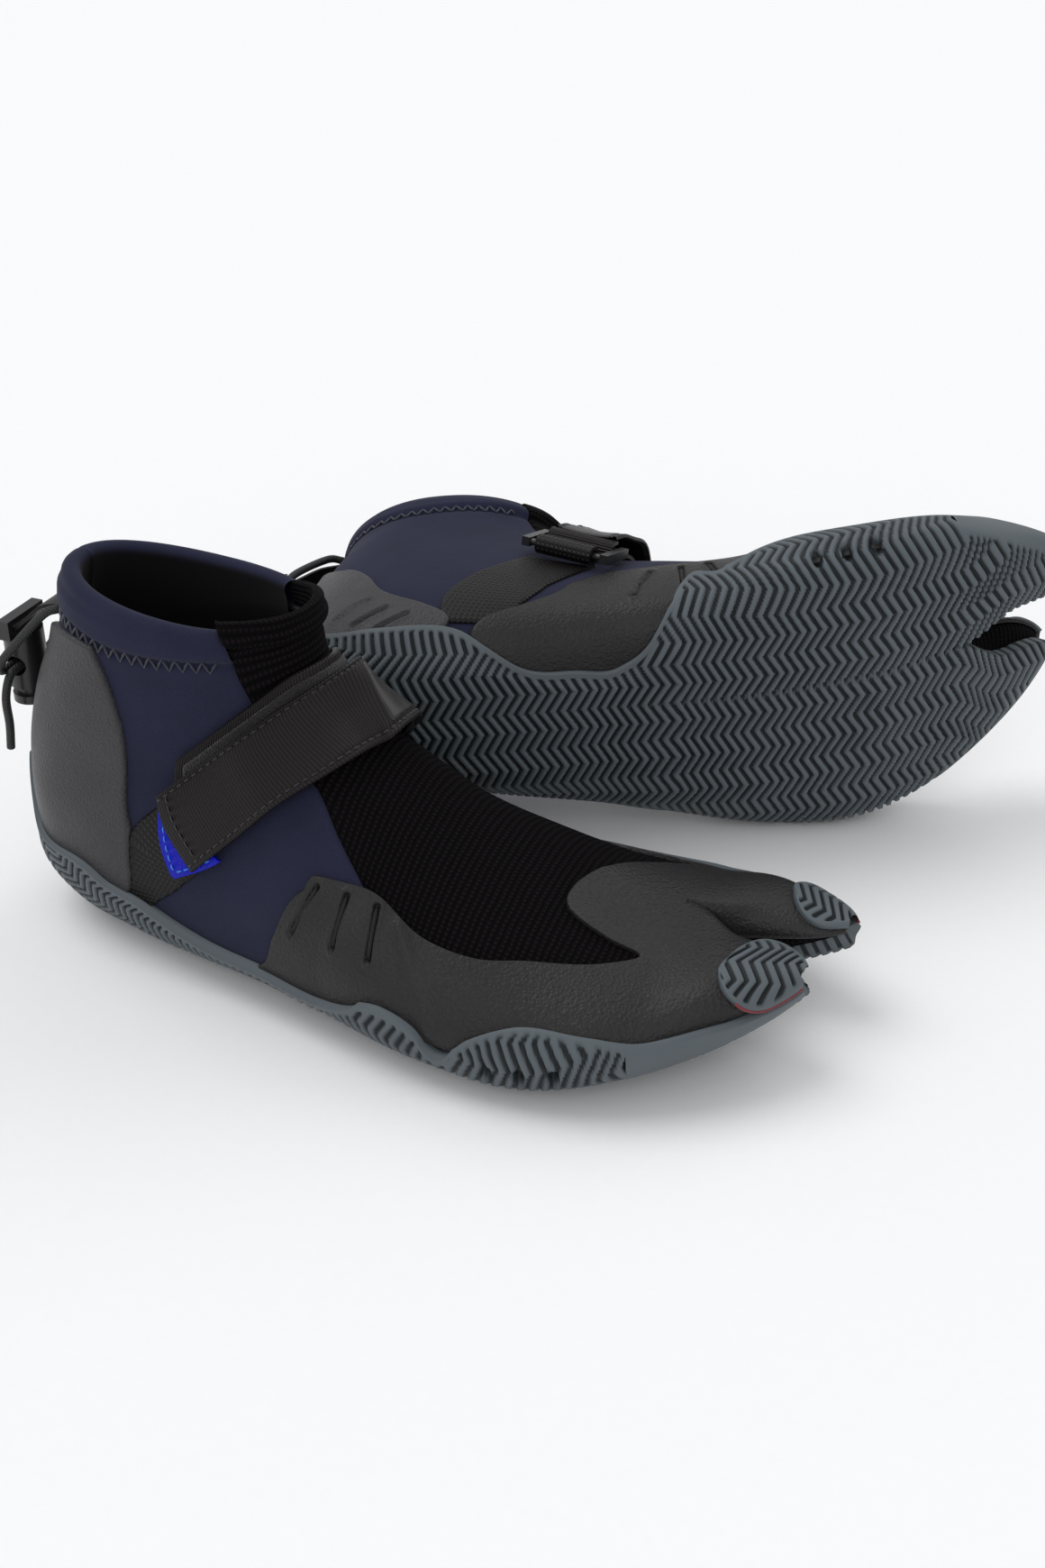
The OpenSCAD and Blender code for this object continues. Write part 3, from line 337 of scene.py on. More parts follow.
def add_shell(form, points, normals, high, low, edges="nsew", rounding=0.6, uvs=None, depths=None):
    """One layer over a grid of frames, rounded over and walled down to low along the edges named.
    n and s are the first and last row, w and e the first and last column."""
    height = np.broadcast_to(np.asarray(high, float), points.shape[:2]).copy()
    rim = np.full(points.shape[:2], 1e6)
    down, across = arc_lengths(points, 0), arc_lengths(points, 1)
    runs = {"n": down, "s": down[-1:] - down, "w": across, "e": across[:, -1:] - across}
    for name in edges:
        rim = np.minimum(rim, runs[name])
    inside = np.clip(rim / rounding, 0, 1)
    height -= rounding * (1 - np.sqrt(1 - (1 - inside) ** 2))
    uvs = surface_places(points) if uvs is None else uvs
    depths = np.zeros(points.shape[:2]) if depths is None else depths
    pads = [(int("n" in edges), int("s" in edges)), (int("w" in edges), int("e" in edges))]
    grow = lambda a: np.pad(a, pads + [(0, 0)] * (a.ndim - 2), mode="edge")
    points, normals, uvs, depths = grow(points), grow(normals), grow(uvs), grow(depths)
    rows, cols = height.shape
    under = np.pad(np.broadcast_to(np.asarray(low, float), height.shape), pads, mode="edge").copy()
    under[pads[0][0] : pads[0][0] + rows, pads[1][0] : pads[1][0] + cols] = height
    height = under
    rows, cols = points.shape[:2]
    form.add(points + normals * height[..., None], grid_faces(rows, cols), uvs, depths)


def add_tubes(form, lines, normals, radius, sides=8):
    """Round tubes along lines (n, k, 3); normals give the way up. radius is one value or one per point."""
    lines, normals = np.asarray(lines, float), np.asarray(normals, float)
    count, length = lines.shape[:2]
    run = unit(np.gradient(lines, axis=1))
    side = unit(np.cross(run, normals))
    up = np.cross(side, run)
    turn = 2 * math.pi * np.arange(sides) / sides
    radius = np.broadcast_to(np.asarray(radius, float), (count, length))[..., None, None]
    ring = side[..., None, :] * np.cos(turn)[:, None] + up[..., None, :] * np.sin(turn)[:, None]
    points = lines[..., None, :] + ring * radius
    run_length = arc_lengths(lines, 1)
    girth = turn / (2 * math.pi) * math.pi * CORD
    uvs = np.stack(np.broadcast_arrays(run_length[..., None], girth), -1)
    walls = grid_faces(length, sides, around=True)[:, ::-1]
    caps = [list(range(sides)), [(length - 1) * sides + k for k in range(sides - 1, -1, -1)]]
    for k in range(count):
        form.add(points[k], list(walls) + caps, uvs[k])


def carried_frames(line):
    """Way-up vectors carried along a 3-D line without twist."""
    run = unit(np.gradient(line, axis=0))
    start = np.cross(run[0], [0, 0, 1] if abs(run[0][2]) < 0.9 else [1, 0, 0])
    ups = [start / np.linalg.norm(start)]
    for r in run[1:]:
        flat = ups[-1] - r * (ups[-1] @ r)
        ups.append(flat / np.linalg.norm(flat))
    return np.array(ups)


def curve_points(knots, count):
    """Smooth run of points through a few points."""
    knots = np.array(knots, float)
    x = np.linspace(0, len(knots) - 1, count)
    return np.stack([along(list(enumerate(knots[:, k])), x) for k in range(knots.shape[1])], -1)


def add_stitches(form, line, normals, length=2.2, gap=1.0, radius=0.3, sink=0.35):
    """A run of separate stitches lying on a line of surface points."""
    run = arc_lengths(line)
    pitch = length + gap
    starts = np.arange(0.5, run[-1] - length, pitch)
    places = starts[:, None] + np.linspace(0, length, 5)
    pick = lambda values: np.stack([np.interp(places, run, values[:, k]) for k in range(3)], -1)
    lift = radius * 0.4 - sink * np.array([1, 0.25, 0, 0.25, 1])
    ways = unit(pick(normals))
    add_tubes(form, pick(line) + ways * lift[:, None], ways, radius * np.array([0.6, 1, 1, 1, 0.6]), sides=6)


class Boot:
    """Where one of the two boots stands in the row."""

    def __init__(self, name):
        self.name = name
        self.mirrored = name == "left"
        turn = Euler([math.radians(a) for a in LEFT_TURN], "XYZ").to_matrix()
        self.matrix = np.array(turn) @ np.diag([1, -1, 1]) if self.mirrored else np.eye(3)
        self.place = np.array(LEFT_PLACE) if self.mirrored else np.zeros(3)

    def to_row(self, points):
        return (np.asarray(points, float) @ self.matrix.T + self.place) * MM

    def way(self, vector):
        return np.asarray(vector, float) @ self.matrix.T

    def piece(self, name, form, material, body, slot, nodes=(), merge=False):
        """Makes the form an object that rides on a body and stands for some CAD nodes."""
        points = self.to_row(np.concatenate(form.points))
        faces = [face[::-1] for face in form.faces] if self.mirrored else form.faces
        mesh = bpy.data.meshes.new(f"{self.name}_{name}")
        mesh.from_pydata(points.tolist(), [], faces)
        used = np.empty(len(mesh.loops), int)
        mesh.loops.foreach_get("vertex_index", used)
        layer = mesh.uv_layers.new(name="surface_mm")
        layer.data.foreach_set("uv", np.concatenate(form.uvs)[used].ravel())
        # per-point mask: groove and drain-hole depth on the rubber, where it becomes painted shade, and the lining
        # side on the upper panels
        depth = mesh.attributes.new("groove", "FLOAT", "POINT")
        depth.data.foreach_set("value", np.concatenate(form.depths))
        mesh.polygons.foreach_set("use_smooth", np.ones(len(mesh.polygons), bool))
        mesh.materials.append(material)
        piece = bpy.data.objects.new(mesh.name, mesh)
        bpy.context.scene.collection.objects.link(piece)
        if merge:
            weld(mesh)
        mesh.update()
        if nodes:
            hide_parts(*[f"{self.name}_{node}" for node in nodes])
        if body:
            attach(piece, f"{self.name}_{body}")
        return piece


def weld(mesh, distance=0.02 * MM):
    import bmesh

    built = bmesh.new()
    built.from_mesh(mesh)
    bmesh.ops.remove_doubles(built, verts=built.verts, dist=distance)
    built.to_mesh(mesh)
    built.free()


# ---------- materials ----------


class Paint:
    """A small helper for writing a node material."""

    def __init__(self, name):
        self.material = bpy.data.materials.new(name)
        self.material.use_nodes = True
        self.tree = self.material.node_tree
        self.shader = self.tree.nodes["Principled BSDF"]

    def put(self, kind, inputs=None, **settings):
        node = self.tree.nodes.new(kind)
        for key, value in settings.items():
            setattr(node, key, value)
        for key, value in (inputs or {}).items():
            self.join(value, node.inputs[key])
        return node

    def join(self, value, socket):
        if isinstance(value, bpy.types.NodeSocket):
            self.tree.links.new(value, socket)
        else:
            socket.default_value = value

    def math(self, operation, a, b=0.0, c=0.0):
        return self.put("ShaderNodeMath", {0: a, 1: b, 2: c}, operation=operation).outputs[0]

    def surface(self):
        """Coordinates in mm down and across the piece."""
        uv = self.put("ShaderNodeUVMap", uv_map="surface_mm").outputs[0]
        split = self.put("ShaderNodeSeparateXYZ", {0: uv})
        return split.outputs[0], split.outputs[1]

    def spot(self):
        return self.put("ShaderNodeTexCoord").outputs["Object"]

    def noise(self, size_mm, detail=3.0, rough=0.55):
        inputs = {"Vector": self.spot(), "Scale": 1 / (size_mm * MM), "Detail": detail, "Roughness": rough}
        return self.put("ShaderNodeTexNoise", inputs).outputs[0]

    def cells(self, size_mm, feature="F1"):
        inputs = {"Vector": self.spot(), "Scale": 1 / (size_mm * MM)}
        return self.put("ShaderNodeTexVoronoi", inputs, feature=feature).outputs[0]

    def ripple(self, place, pitch_mm):
        """Rises and falls between 0 and 1 once each pitch."""
        turn = self.math("MULTIPLY", place, 2 * math.pi / pitch_mm)
        return self.math("MULTIPLY_ADD", self.math("SINE", turn), 0.5, 0.5)

    def ramp(self, factor, *stops):
        node = self.put("ShaderNodeValToRGB", {0: factor})
        elements = node.color_ramp.elements
        while len(elements) < len(stops):
            elements.new(0.5)
        for element, (place, colour) in zip(elements, stops):
            element.position = place
            element.color = (*colour, 1)
        return node.outputs[0]

    def bump(self, height, depth_mm, strength=1.0, under=None):
        inputs = {"Height": height, "Distance": depth_mm * MM, "Strength": strength}
        if under is not None:
            inputs["Normal"] = under
        return self.put("ShaderNodeBump", inputs).outputs[0]

    def finish(self, colour, roughness, normal=None, **others):
        self.join(colour if isinstance(colour, bpy.types.NodeSocket) else (*colour, 1), self.shader.inputs["Base Color"])
        self.join(roughness, self.shader.inputs["Roughness"])
        if normal is not None:
            self.join(normal, self.shader.inputs["Normal"])
        for key, value in others.items():
            self.join(value, self.shader.inputs[key.replace("_", " ")])
        return self.material


def tone(colour, share):
    return tuple(part * share for part in colour)


def navy_fabric():
    """Smooth jersey laminated to neoprene: a fine heather with a soft sheen."""
    p = Paint("navy_jersey")
    base = (0.017, 0.019, 0.042)
    fine, broad = p.noise(0.35, 2), p.noise(18, 3)
    blend = p.math("MULTIPLY_ADD", broad, 0.35, p.math("MULTIPLY", fine, 0.65))
    outside = p.ramp(blend, (0.3, tone(base, 0.72)), (0.7, tone(base, 1.3)))
    lining = p.put("ShaderNodeAttribute", attribute_name="groove").outputs["Fac"]
    colour = p.put("ShaderNodeMixRGB", {0: lining, 1: outside, 2: (0.006, 0.005, 0.006, 1)}).outputs[0]
    normal = p.bump(fine, 0.1, 0.5)
    return p.finish(colour, 0.85, normal, Sheen_Weight=0.04, Sheen_Roughness=0.5, Specular_IOR_Level=0.14)


def grid_knit():
    """Black knit with raised ribs across the foot, broken into small blocks."""
    p = Paint("grid_knit")
    down, across = p.surface()
    wave = p.math("MULTIPLY", p.noise(9, 2), 1.2)
    ribs = p.ripple(p.math("ADD", down, wave), 2.3)
    blocks = p.ripple(p.math("ADD", across, wave), 1.7)
    raised = p.math("MULTIPLY", p.math("POWER", ribs, 0.7), p.math("MULTIPLY_ADD", blocks, 0.6, 0.4))
    fuzz = p.noise(0.3, 2)
    height = p.math("MULTIPLY_ADD", fuzz, 0.25, raised)
    # colour follows the rib relief: painted shade in the valleys between ribs, painted highlight on the raised blocks
    colour = p.ramp(raised, (0.05, (0.001, 0.001, 0.001)), (0.6, (0.004, 0.003, 0.004)), (1.0, (0.012, 0.008, 0.010)))
    return p.finish(colour, 0.9, p.bump(height, 0.8, 1.0), Specular_IOR_Level=0.08)


def leather(name, base, grain_mm, gloss):
    """Synthetic leather: pebble grain with fine creases, worn slightly smoother in patches."""
    p = Paint(name)
    pebbles = p.cells(grain_mm, "SMOOTH_F1")
    creases = p.noise(grain_mm * 1.6, 4, 0.65)
    broad = p.noise(30, 3)
    height = p.math("MULTIPLY_ADD", creases, 0.7, pebbles)
    shade = p.math("MULTIPLY_ADD", pebbles, 0.45, p.math("MULTIPLY", broad, 0.6))
    colour = p.ramp(shade, (0.2, tone(base, 1.18)), (0.8, tone(base, 0.7)))
    rough = p.math("MULTIPLY_ADD", broad, 0.22, gloss)
    return p.finish(colour, rough, p.bump(height, 0.35, 0.8), Specular_IOR_Level=0.26)


def sole_rubber():
    """Matt bluish rubber, with painted shade down in the tread grooves and drain holes, so paler on the ridges."""
    p = Paint("sole_rubber")
    groove = p.put("ShaderNodeAttribute", attribute_name="groove").outputs["Fac"]
    patch = p.noise(22, 3)
    speck = p.noise(0.5, 3)
    # the groove mask becomes painted shade, darker down in the grooves and drain holes; the patch noise is random
    # tone
    deep = p.math("ADD", groove, p.math("MULTIPLY", p.math("SUBTRACT", patch, 0.5), 0.25))
    colour = p.ramp(
        deep, (0.0, (0.098, 0.116, 0.128)), (0.3, (0.075, 0.09, 0.10)), (0.62, (0.026, 0.032, 0.036)),
        (1.0, (0.010, 0.013, 0.015)),
    )
    rough = p.math("MULTIPLY_ADD", patch, 0.2, 0.42)
    return p.finish(colour, rough, p.bump(speck, 0.06, 0.5), Specular_IOR_Level=0.25)


def webbing(name, pitch_mm, base, cross_mm=0.0):
    """Woven tape: ribs across it, or a coarse mesh when a cross pitch is given."""
    p = Paint(name)
    down, across = p.surface()
    ribs = p.ripple(down, pitch_mm)
    height = ribs
    if cross_mm:
        height = p.math("MULTIPLY", ribs, p.ripple(across, cross_mm))
    fuzz = p.noise(0.25, 2)
    shade = p.math("MULTIPLY_ADD", fuzz, 0.3, p.math("MULTIPLY", height, 0.8))
    colour = p.ramp(shade, (0.15, tone(base, 0.35)), (0.85, tone(base, 1.5)))
    return p.finish(colour, 0.42, p.bump(height, 0.35, 0.9), Specular_IOR_Level=0.22)


def coated_tape():
    """Smooth coated patch welded on the strap."""
    p = Paint("coated_tape")
    scuff = p.noise(6, 4)
    fine = p.noise(0.5, 2)
    colour = p.ramp(scuff, (0.3, (0.011, 0.009, 0.009)), (0.7, (0.022, 0.018, 0.018)))
    rough = p.math("MULTIPLY_ADD", scuff, 0.25, 0.28)
    return p.finish(colour, rough, p.bump(fine, 0.05, 0.4))


def pile(name, base, size_mm):
    """Loop or hook face of the fastener."""
    p = Paint(name)
    tufts = p.cells(size_mm)
    colour = p.ramp(tufts, (0.0, tone(base, 1.7)), (0.6, tone(base, 0.4)))
    return p.finish(colour, 0.95, p.bump(tufts, 0.6, 1.0), Sheen_Weight=0.2)


def moulded(name, base, roughness):
    """Moulded plastic with a fine spark-eroded texture; also serves the near-black painted shade in the overlay
    slots.
    """
    p = Paint(name)
    fine = p.noise(0.3, 2)
    broad = p.noise(7, 2)
    rough = p.math("MULTIPLY_ADD", broad, 0.15, roughness)
    colour = p.ramp(broad, (0.3, tone(base, 0.85)), (0.7, tone(base, 1.15)))
    return p.finish(colour, rough, p.bump(fine, 0.03, 0.4))


def braid():
    """Braided sleeve of the elastic cord."""
    p = Paint("cord_braid")
    down, around = p.surface()
    one = p.ripple(p.math("ADD", down, p.math("MULTIPLY", around, 0.9)), 1.3)
    other = p.ripple(p.math("SUBTRACT", down, p.math("MULTIPLY", around, 0.9)), 1.3)
    height = p.math("MAXIMUM", one, other)
    colour = p.ramp(height, (0.4, (0.002, 0.002, 0.002)), (1.0, (0.016, 0.016, 0.017)))
    return p.finish(colour, 0.55, p.bump(height, 0.25, 0.8))


def thread(name, base):
    p = Paint(name)
    twist = p.noise(0.2, 1)
    colour = p.ramp(twist, (0.3, tone(base, 0.6)), (0.7, tone(base, 1.3)))
    return p.finish(colour, 0.6, p.bump(twist, 0.08, 0.6), Sheen_Weight=0.2)


def metal():
    p = Paint("spring_wire")
    drawn = p.noise(0.4, 2)
    return p.finish((0.55, 0.55, 0.57), p.math("MULTIPLY_ADD", drawn, 0.2, 0.25), Metallic=1.0)


NAVY = navy_fabric()
KNIT = grid_knit()
OVERLAY = leather("overlay_leather", (0.021, 0.0195, 0.020), 0.9, 0.3)
HEEL = leather("heel_leather", (0.042, 0.041, 0.044), 0.7, 0.3)
RUBBER = sole_rubber()
TAPE = webbing("ribbed_tape", 1.1, (0.009, 0.0065, 0.0065))
MESH = webbing("mesh_tape", 1.9, (0.008, 0.006, 0.0065), cross_mm=1.9)
COATED = coated_tape()
LOOPS = pile("loop_pile", (0.012, 0.010, 0.011), 0.5)
HOOKS = pile("hook_field", (0.01, 0.01, 0.01), 0.8)
PLASTIC = moulded("black_plastic", (0.012, 0.012, 0.013), 0.25)
BLUE = webbing("blue_tape", 0.7, (0.004, 0.008, 0.5))
BRAID = braid()
# near-black matte fill for the overlay slots: painted shade for the dark hollow of each slot
SLOT = moulded("slot_floor", (0.004, 0.004, 0.004), 0.7)
DARK_THREAD = thread("dark_thread", (0.010, 0.010, 0.013))
NAVY_THREAD = thread("navy_thread", (0.016, 0.018, 0.034))
CYAN_THREAD = thread("cyan_thread", (0.02, 0.22, 0.75))
GLUE = thread("seam_glue", (0.20, 0.012, 0.02))
WIRE = metal()
FOAM = pile("foam_footbed", (0.035, 0.035, 0.038), 0.7)
BOARD = moulded("fibre_board", (0.2, 0.2, 0.21), 0.7)

# ---------- upper ----------


def rim_u(t):
    return -92 + 3.2 * np.cos(2 * math.pi * t) - 1.5 * np.sin(2 * math.pi * t)


def panel_rim_u(t):
    return -98 - 5 * np.cos(3 * math.pi * t) + 8 * smooth(-t / 0.16)


def near_segments(points, segments, reach):
    """How close points lie to any of some 3-D segments: 1 on one, 0 at reach and beyond."""
    closest = np.full(points.shape[:-1], 1e6)
    for a, b in segments:
        run = b - a
        s = np.clip(((points - a) @ run) / (run @ run), 0, 1)
        closest = np.minimum(closest, np.linalg.norm(points - a - s[..., None] * run, axis=-1))
    return closest


def hem_line(t):
    """Distance of the collar's zigzag stitch below the rim, mm."""
    off = np.abs((t + 0.5) % 1 - 0.5)
    return mix(8.5, 12.5, smooth((off - 0.15) / 0.15))


def upper_panel(form, seam_a, seam_b, roll, cols, rim):
    """Outside, rolled collar and lining of a panel between two seams given as t(u)."""
    w = np.linspace(0, 1, cols)
    outer_u = np.concatenate([between(TOE_SPLIT, -4, 1.6), between(-6, -60, 1.5), between(-61, -82, 0.7)])
    top_t = mix(seam_a(-92.0), seam_b(-92.0), w)
    share = np.linspace(0, 1, 26)[1:, None]
    collar_u = mix(-82, rim(top_t), share)
    collar_t = mix(seam_a(collar_u), seam_b(collar_u), w)
    t = np.concatenate([mix(seam_a(outer_u)[:, None], seam_b(outer_u)[:, None], w), collar_t])
    u = np.concatenate([outer_u[:, None] + 0 * w, collar_u])
    points, normals = skin_frames(u, t)
    below = arc_lengths(points, 0)
    below = below[-1:] - below
    stitch = np.exp(-(((below - hem_line(t)) / 1.6) ** 2))
    channel = smooth((hem_line(t) - below) / 4) * smooth(below / 4)
    seam = np.minimum(arc_lengths(points, 1), arc_lengths(points, 1)[:, -1:] - arc_lengths(points, 1))
    height = 1.3 * channel - 1.0 * stitch - 0.8 * np.clip(1 - seam / 1.3, 0, 1) ** 2
    outside = points + normals * height[..., None]
    up = unit(points[-1] - points[-3])
    arcs = np.radians(np.linspace(18, 180, 11))[:, None, None]
    centre = outside[-1] - normals[-1] * roll
    rolled = centre + roll * (normals[-1] * np.cos(arcs) + up * np.sin(arcs))
    inner_u = np.concatenate([between(-84, -60, 1.2), between(-56, TOE_SPLIT, 5.0)])
    inner_t = mix(seam_a(inner_u)[:, None], seam_b(inner_u)[:, None], w)
    lining, inward = skin_frames(inner_u[:, None] + 0 * inner_t, inner_t)
    depth = mix(NEOPRENE, 2 * roll, smooth((-inner_u - 68) / 14))[:, None, None]
    inside = lining - inward * depth
    grid = np.concatenate([outside, rolled, inside])
    edge = smooth((np.arange(len(rolled)) - 7.0) / 3)
    black = np.concatenate([np.zeros(len(outside)), edge, np.ones(len(inside))])
    form.add(
        grid, grid_faces(*grid.shape[:2])[:, ::-1], surface_places(grid),
        np.broadcast_to(black[:, None], grid.shape[:2]),
    )


def zigzag_line(t_first, t_last, below, swing=2.0, pitch=4.4):
    """Zigzag run round the collar, below mm under the rim."""
    t = np.linspace(t_first, t_last, 400)
    scan = np.linspace(0, 16, 60)[:, None]
    points, normals = skin_frames(rim_u(t) + scan, t)
    down = arc_lengths(points, 0)
    wanted = below(t)
    centre = np.array([[np.interp(wanted[j], down[:, j], points[:, j, k]) for k in range(3)] for j in range(len(t))])
    ways = np.array([[np.interp(wanted[j], down[:, j], normals[:, j, k]) for k in range(3)] for j in range(len(t))])
    run = arc_lengths(centre)
    sideways = unit(np.cross(unit(np.gradient(centre, axis=0)), ways))
    stops = np.arange(0, run[-1], pitch / 4)
    pick = lambda values: np.stack([np.interp(stops, run, values[:, k]) for k in range(3)], -1)
    wave = np.abs((stops / pitch) % 1 * 2 - 1) * 2 - 1
    return pick(centre) + pick(sideways) * (wave * swing)[:, None], unit(pick(ways))


def make_upper(boot):
    seam = lambda u: along(INSTEP_SEAM, u)
    split = lambda u: 0.5 + 0 * np.asarray(u, float)
    outer, inner, instep = Form(), Form(), Form()
    upper_panel(outer, seam, split, COLLAR_ROLL, 90, rim_u)
    upper_panel(inner, lambda u: 1 - split(u), lambda u: 1 - seam(u), COLLAR_ROLL, 90, rim_u)
    upper_panel(instep, lambda u: -seam(u), seam, 1.9, 70, panel_rim_u)
    boot.piece("outer_quarter_cloth", outer, NAVY, "boot", "navy_neoprene", ["outer_quarter"])
    boot.piece("inner_quarter_cloth", inner, NAVY, "boot", "navy_neoprene", ["inner_quarter", "collar_hem"])
    boot.piece("instep_knit", instep, KNIT, "boot", "knit_neoprene", ["instep_panel"])
    for name, first, last in (("outer", 0.158, 0.455), ("inner", 0.545, 0.842)):
        line, ways = zigzag_line(first, last, hem_line)
        threads = Form()
        add_tubes(threads, [line + ways * 0.1], [ways], 0.42, sides=6)
        boot.piece(f"{name}_collar_stitch", threads, NAVY_THREAD, "boot", "navy_neoprene")


def make_toe_socks(boot):
    for side, name in ((-1, "small_toe_sock"), (1, "big_toe_sock")):
        reach = np.sin(np.linspace(0, math.pi / 2, 26))
        u = TOE_SPLIT + (TIP[side] - TOE_SPLIT) * 0.985 * reach
        q = np.linspace(0, 1, 60, endpoint=False)
        points, normals = lobe_frames(side, u[:, None], q)
        form = Form()
        grid = points - normals * 0.3
        form.add(grid, grid_faces(len(u), len(q), around=True), surface_places(grid))
        boot.piece(f"{name}_knit", form, KNIT, "boot", "knit_neoprene", [name])


def make_linings(boot):
    bottom, bed = Form(), Form()
    u = between(-57, TOE_SPLIT, 3)[:, None]
    t = 0.5 + np.linspace(-0.055, 0.055, 9)
    points, normals = skin_frames(u + 0 * t, t + 0 * u)
    add_shell(bottom, points, normals, -0.1, -NEOPRENE)
    boot.piece("bottom_sock_knit", bottom, KNIT, "boot", "knit_neoprene", ["bottom_sock"])
    u = between(-34, TOE_SPLIT - 3, 3)[:, None]
    t = 0.5 + np.linspace(-0.046, 0.046, 9)
    points, normals = skin_frames(u + 0 * t, t + 0 * u)
    add_shell(bed, points, -normals, NEOPRENE + 3.2, NEOPRENE + 0.5, rounding=1.0)
    boot.piece("footbed", bed, FOAM, "boot", "foam", ["insole"])


# ---------- overlays ----------

WING_ROOT = 0.2


def overlay_t(u, t):
    """Place of an overlay column: beyond the wing root the columns are drawn in ahead of the wings."""
    away = np.abs(t) - WING_ROOT
    drawn = mix(1.0, 0.38, smooth((u + 12) / 39))
    hump = 0.014 * np.exp(-(((u - 15) / 11) ** 2) - ((t - 0.15) / 0.03) ** 2)
    return np.where(away < 0, t - hump, np.sign(t) * (WING_ROOT + away * drawn))


def rear_columns(count):
    """Columns of the forefoot overlay, evenly spaced in mm along its rear edge."""
    fine = np.linspace(0, 1, 1200)
    rear = [(u, t) for t, u in OVERLAY_REAR]
    u, t = edge_at(rear, fine)
    weight = 1 + 1.6 * np.exp(-(((t - 0.18) / 0.035) ** 2)) + 1.6 * np.exp(-(((t + 0.245) / 0.04) ** 2))
    run = arc_lengths(skin(u, t))
    run = np.concatenate([[0], np.cumsum(np.diff(run) * weight[1:])])
    s = np.interp(np.linspace(0, run[-1], count), run, fine)
    u, t = edge_at(rear, s)
    return u, t, int(np.argmin(np.abs(t)))


def slot_places():
    """(u, t) ends of the three slots in each wing of the forefoot overlay."""
    places = []
    for k in range(3):
        places.append(((-3 + 9.5 * k, 0.168 - 0.01 * k), (-7.5 + 12.5 * k, 0.223 - 0.0135 * k)))
        places.append(((-3 + 9.5 * k, 0.778 + 0.006 * k), (-7.5 + 12.5 * k, 0.722 + 0.012 * k)))
    return places


def slot_segments():
    return [(skin(*top), skin(*foot)) for top, foot in slot_places()]


def heel_slots():
    """Ends of the three slots in the inner side of the heel overlay."""
    pairs = []
    for k in range(3):
        pairs.append((skin(-53.5 + 3.6 * k, 0.626 + 0.005 * k), skin(-51.5 + 3.8 * k, 0.675 - 0.002 * k)))
    return pairs


def forefoot_creases():
    """Soft raised ridges that run from the notch of the overlay down to the sole."""
    return [
        (skin(24, turn * 0.15), skin(41, turn * 0.235)) for turn in (1,)
    ]


def make_forefoot_overlay(boot):
    rear_u, rear_t, ridge = rear_columns(500)
    rear_t[ridge] = 0.0
    rows = np.concatenate([[0, 0.003, 0.007], np.linspace(0.012, 0.36, 74), np.linspace(0.372, 1, 50)])[:, None]
    u = mix(rear_u, TOE_SPLIT, rows)
    points, normals = skin_frames(u, overlay_t(u, rear_t))
    form = Form()
    slots, creases = slot_segments(), forefoot_creases()

    def height(points):
        slot = near_segments(points, slots, 1)
        crease = near_segments(points, creases, 1)
        lip = 0.35 * np.exp(-(((slot - 1.7) / 0.8) ** 2))
        return OVERLAY_HIGH + lip + 0.9 * np.exp(-((crease / 2.4) ** 2)) - 1.5 * smooth((1.15 - slot) / 0.5)

    def groove(points):
        return smooth((1.2 - near_segments(points, slots, 1)) / 0.4)

    add_shell(
        form, points, normals, height(points), OVERLAY_LOW - 0.4, edges="nwe", rounding=0.7,
        depths=groove(points),
    )
    for side, cols in ((1, slice(0, ridge + 1)), (-1, slice(ridge, None))):
        t = overlay_t(TOE_SPLIT, rear_t[cols])
        place = lobe_place(side, 1 + t if side > 0 else t)
        reach = np.sin(np.linspace(0, math.pi / 2, 36))[1:, None]
        lobe_u = TOE_SPLIT + (TIP[side] - TOE_SPLIT) * 0.985 * reach
        inward = np.exp(-np.abs(t) / 0.03)
        into_gap = 0.14 * smooth((lobe_u - TOE_SPLIT) / 14) * inward
        lobe_points, lobe_normals = lobe_frames(side, lobe_u, place + side * into_gap)
        lobe_points = np.concatenate([points[-1:, cols], lobe_points])
        lobe_normals = np.concatenate([normals[-1:, cols], lobe_normals])
        settle = smooth(np.linspace(0, 1, len(lobe_points)) * 5)[:, None, None]
        lobe_normals = unit(mix(np.broadcast_to(normals[-1:, cols], lobe_normals.shape), lobe_normals, settle))
        add_shell(form, lobe_points, lobe_normals, OVERLAY_HIGH, OVERLAY_LOW - 0.4, edges="swe", rounding=0.7)
    # near-black tubes laid in the slot hollows as painted shade
    slot_shade_fills = Form()
    for (top, foot) in slot_places():
        s = np.linspace(0, 1, 14)
        line, ways = skin_frames(mix(top[0], foot[0], s), mix(top[1], foot[1], s))
        width = 0.9 * (1 - np.linspace(-1, 1, 14) ** 6 * 0.8)
        add_tubes(slot_shade_fills, [line + ways * (OVERLAY_HIGH - 0.75)], [ways], width[None], sides=8)
    boot.piece("forefoot_slot_floors", slot_shade_fills, SLOT, "boot", "overlay")
    boot.piece("forefoot_overlay_skin", form, OVERLAY, "boot", "overlay", ["forefoot_overlay"], merge=True)


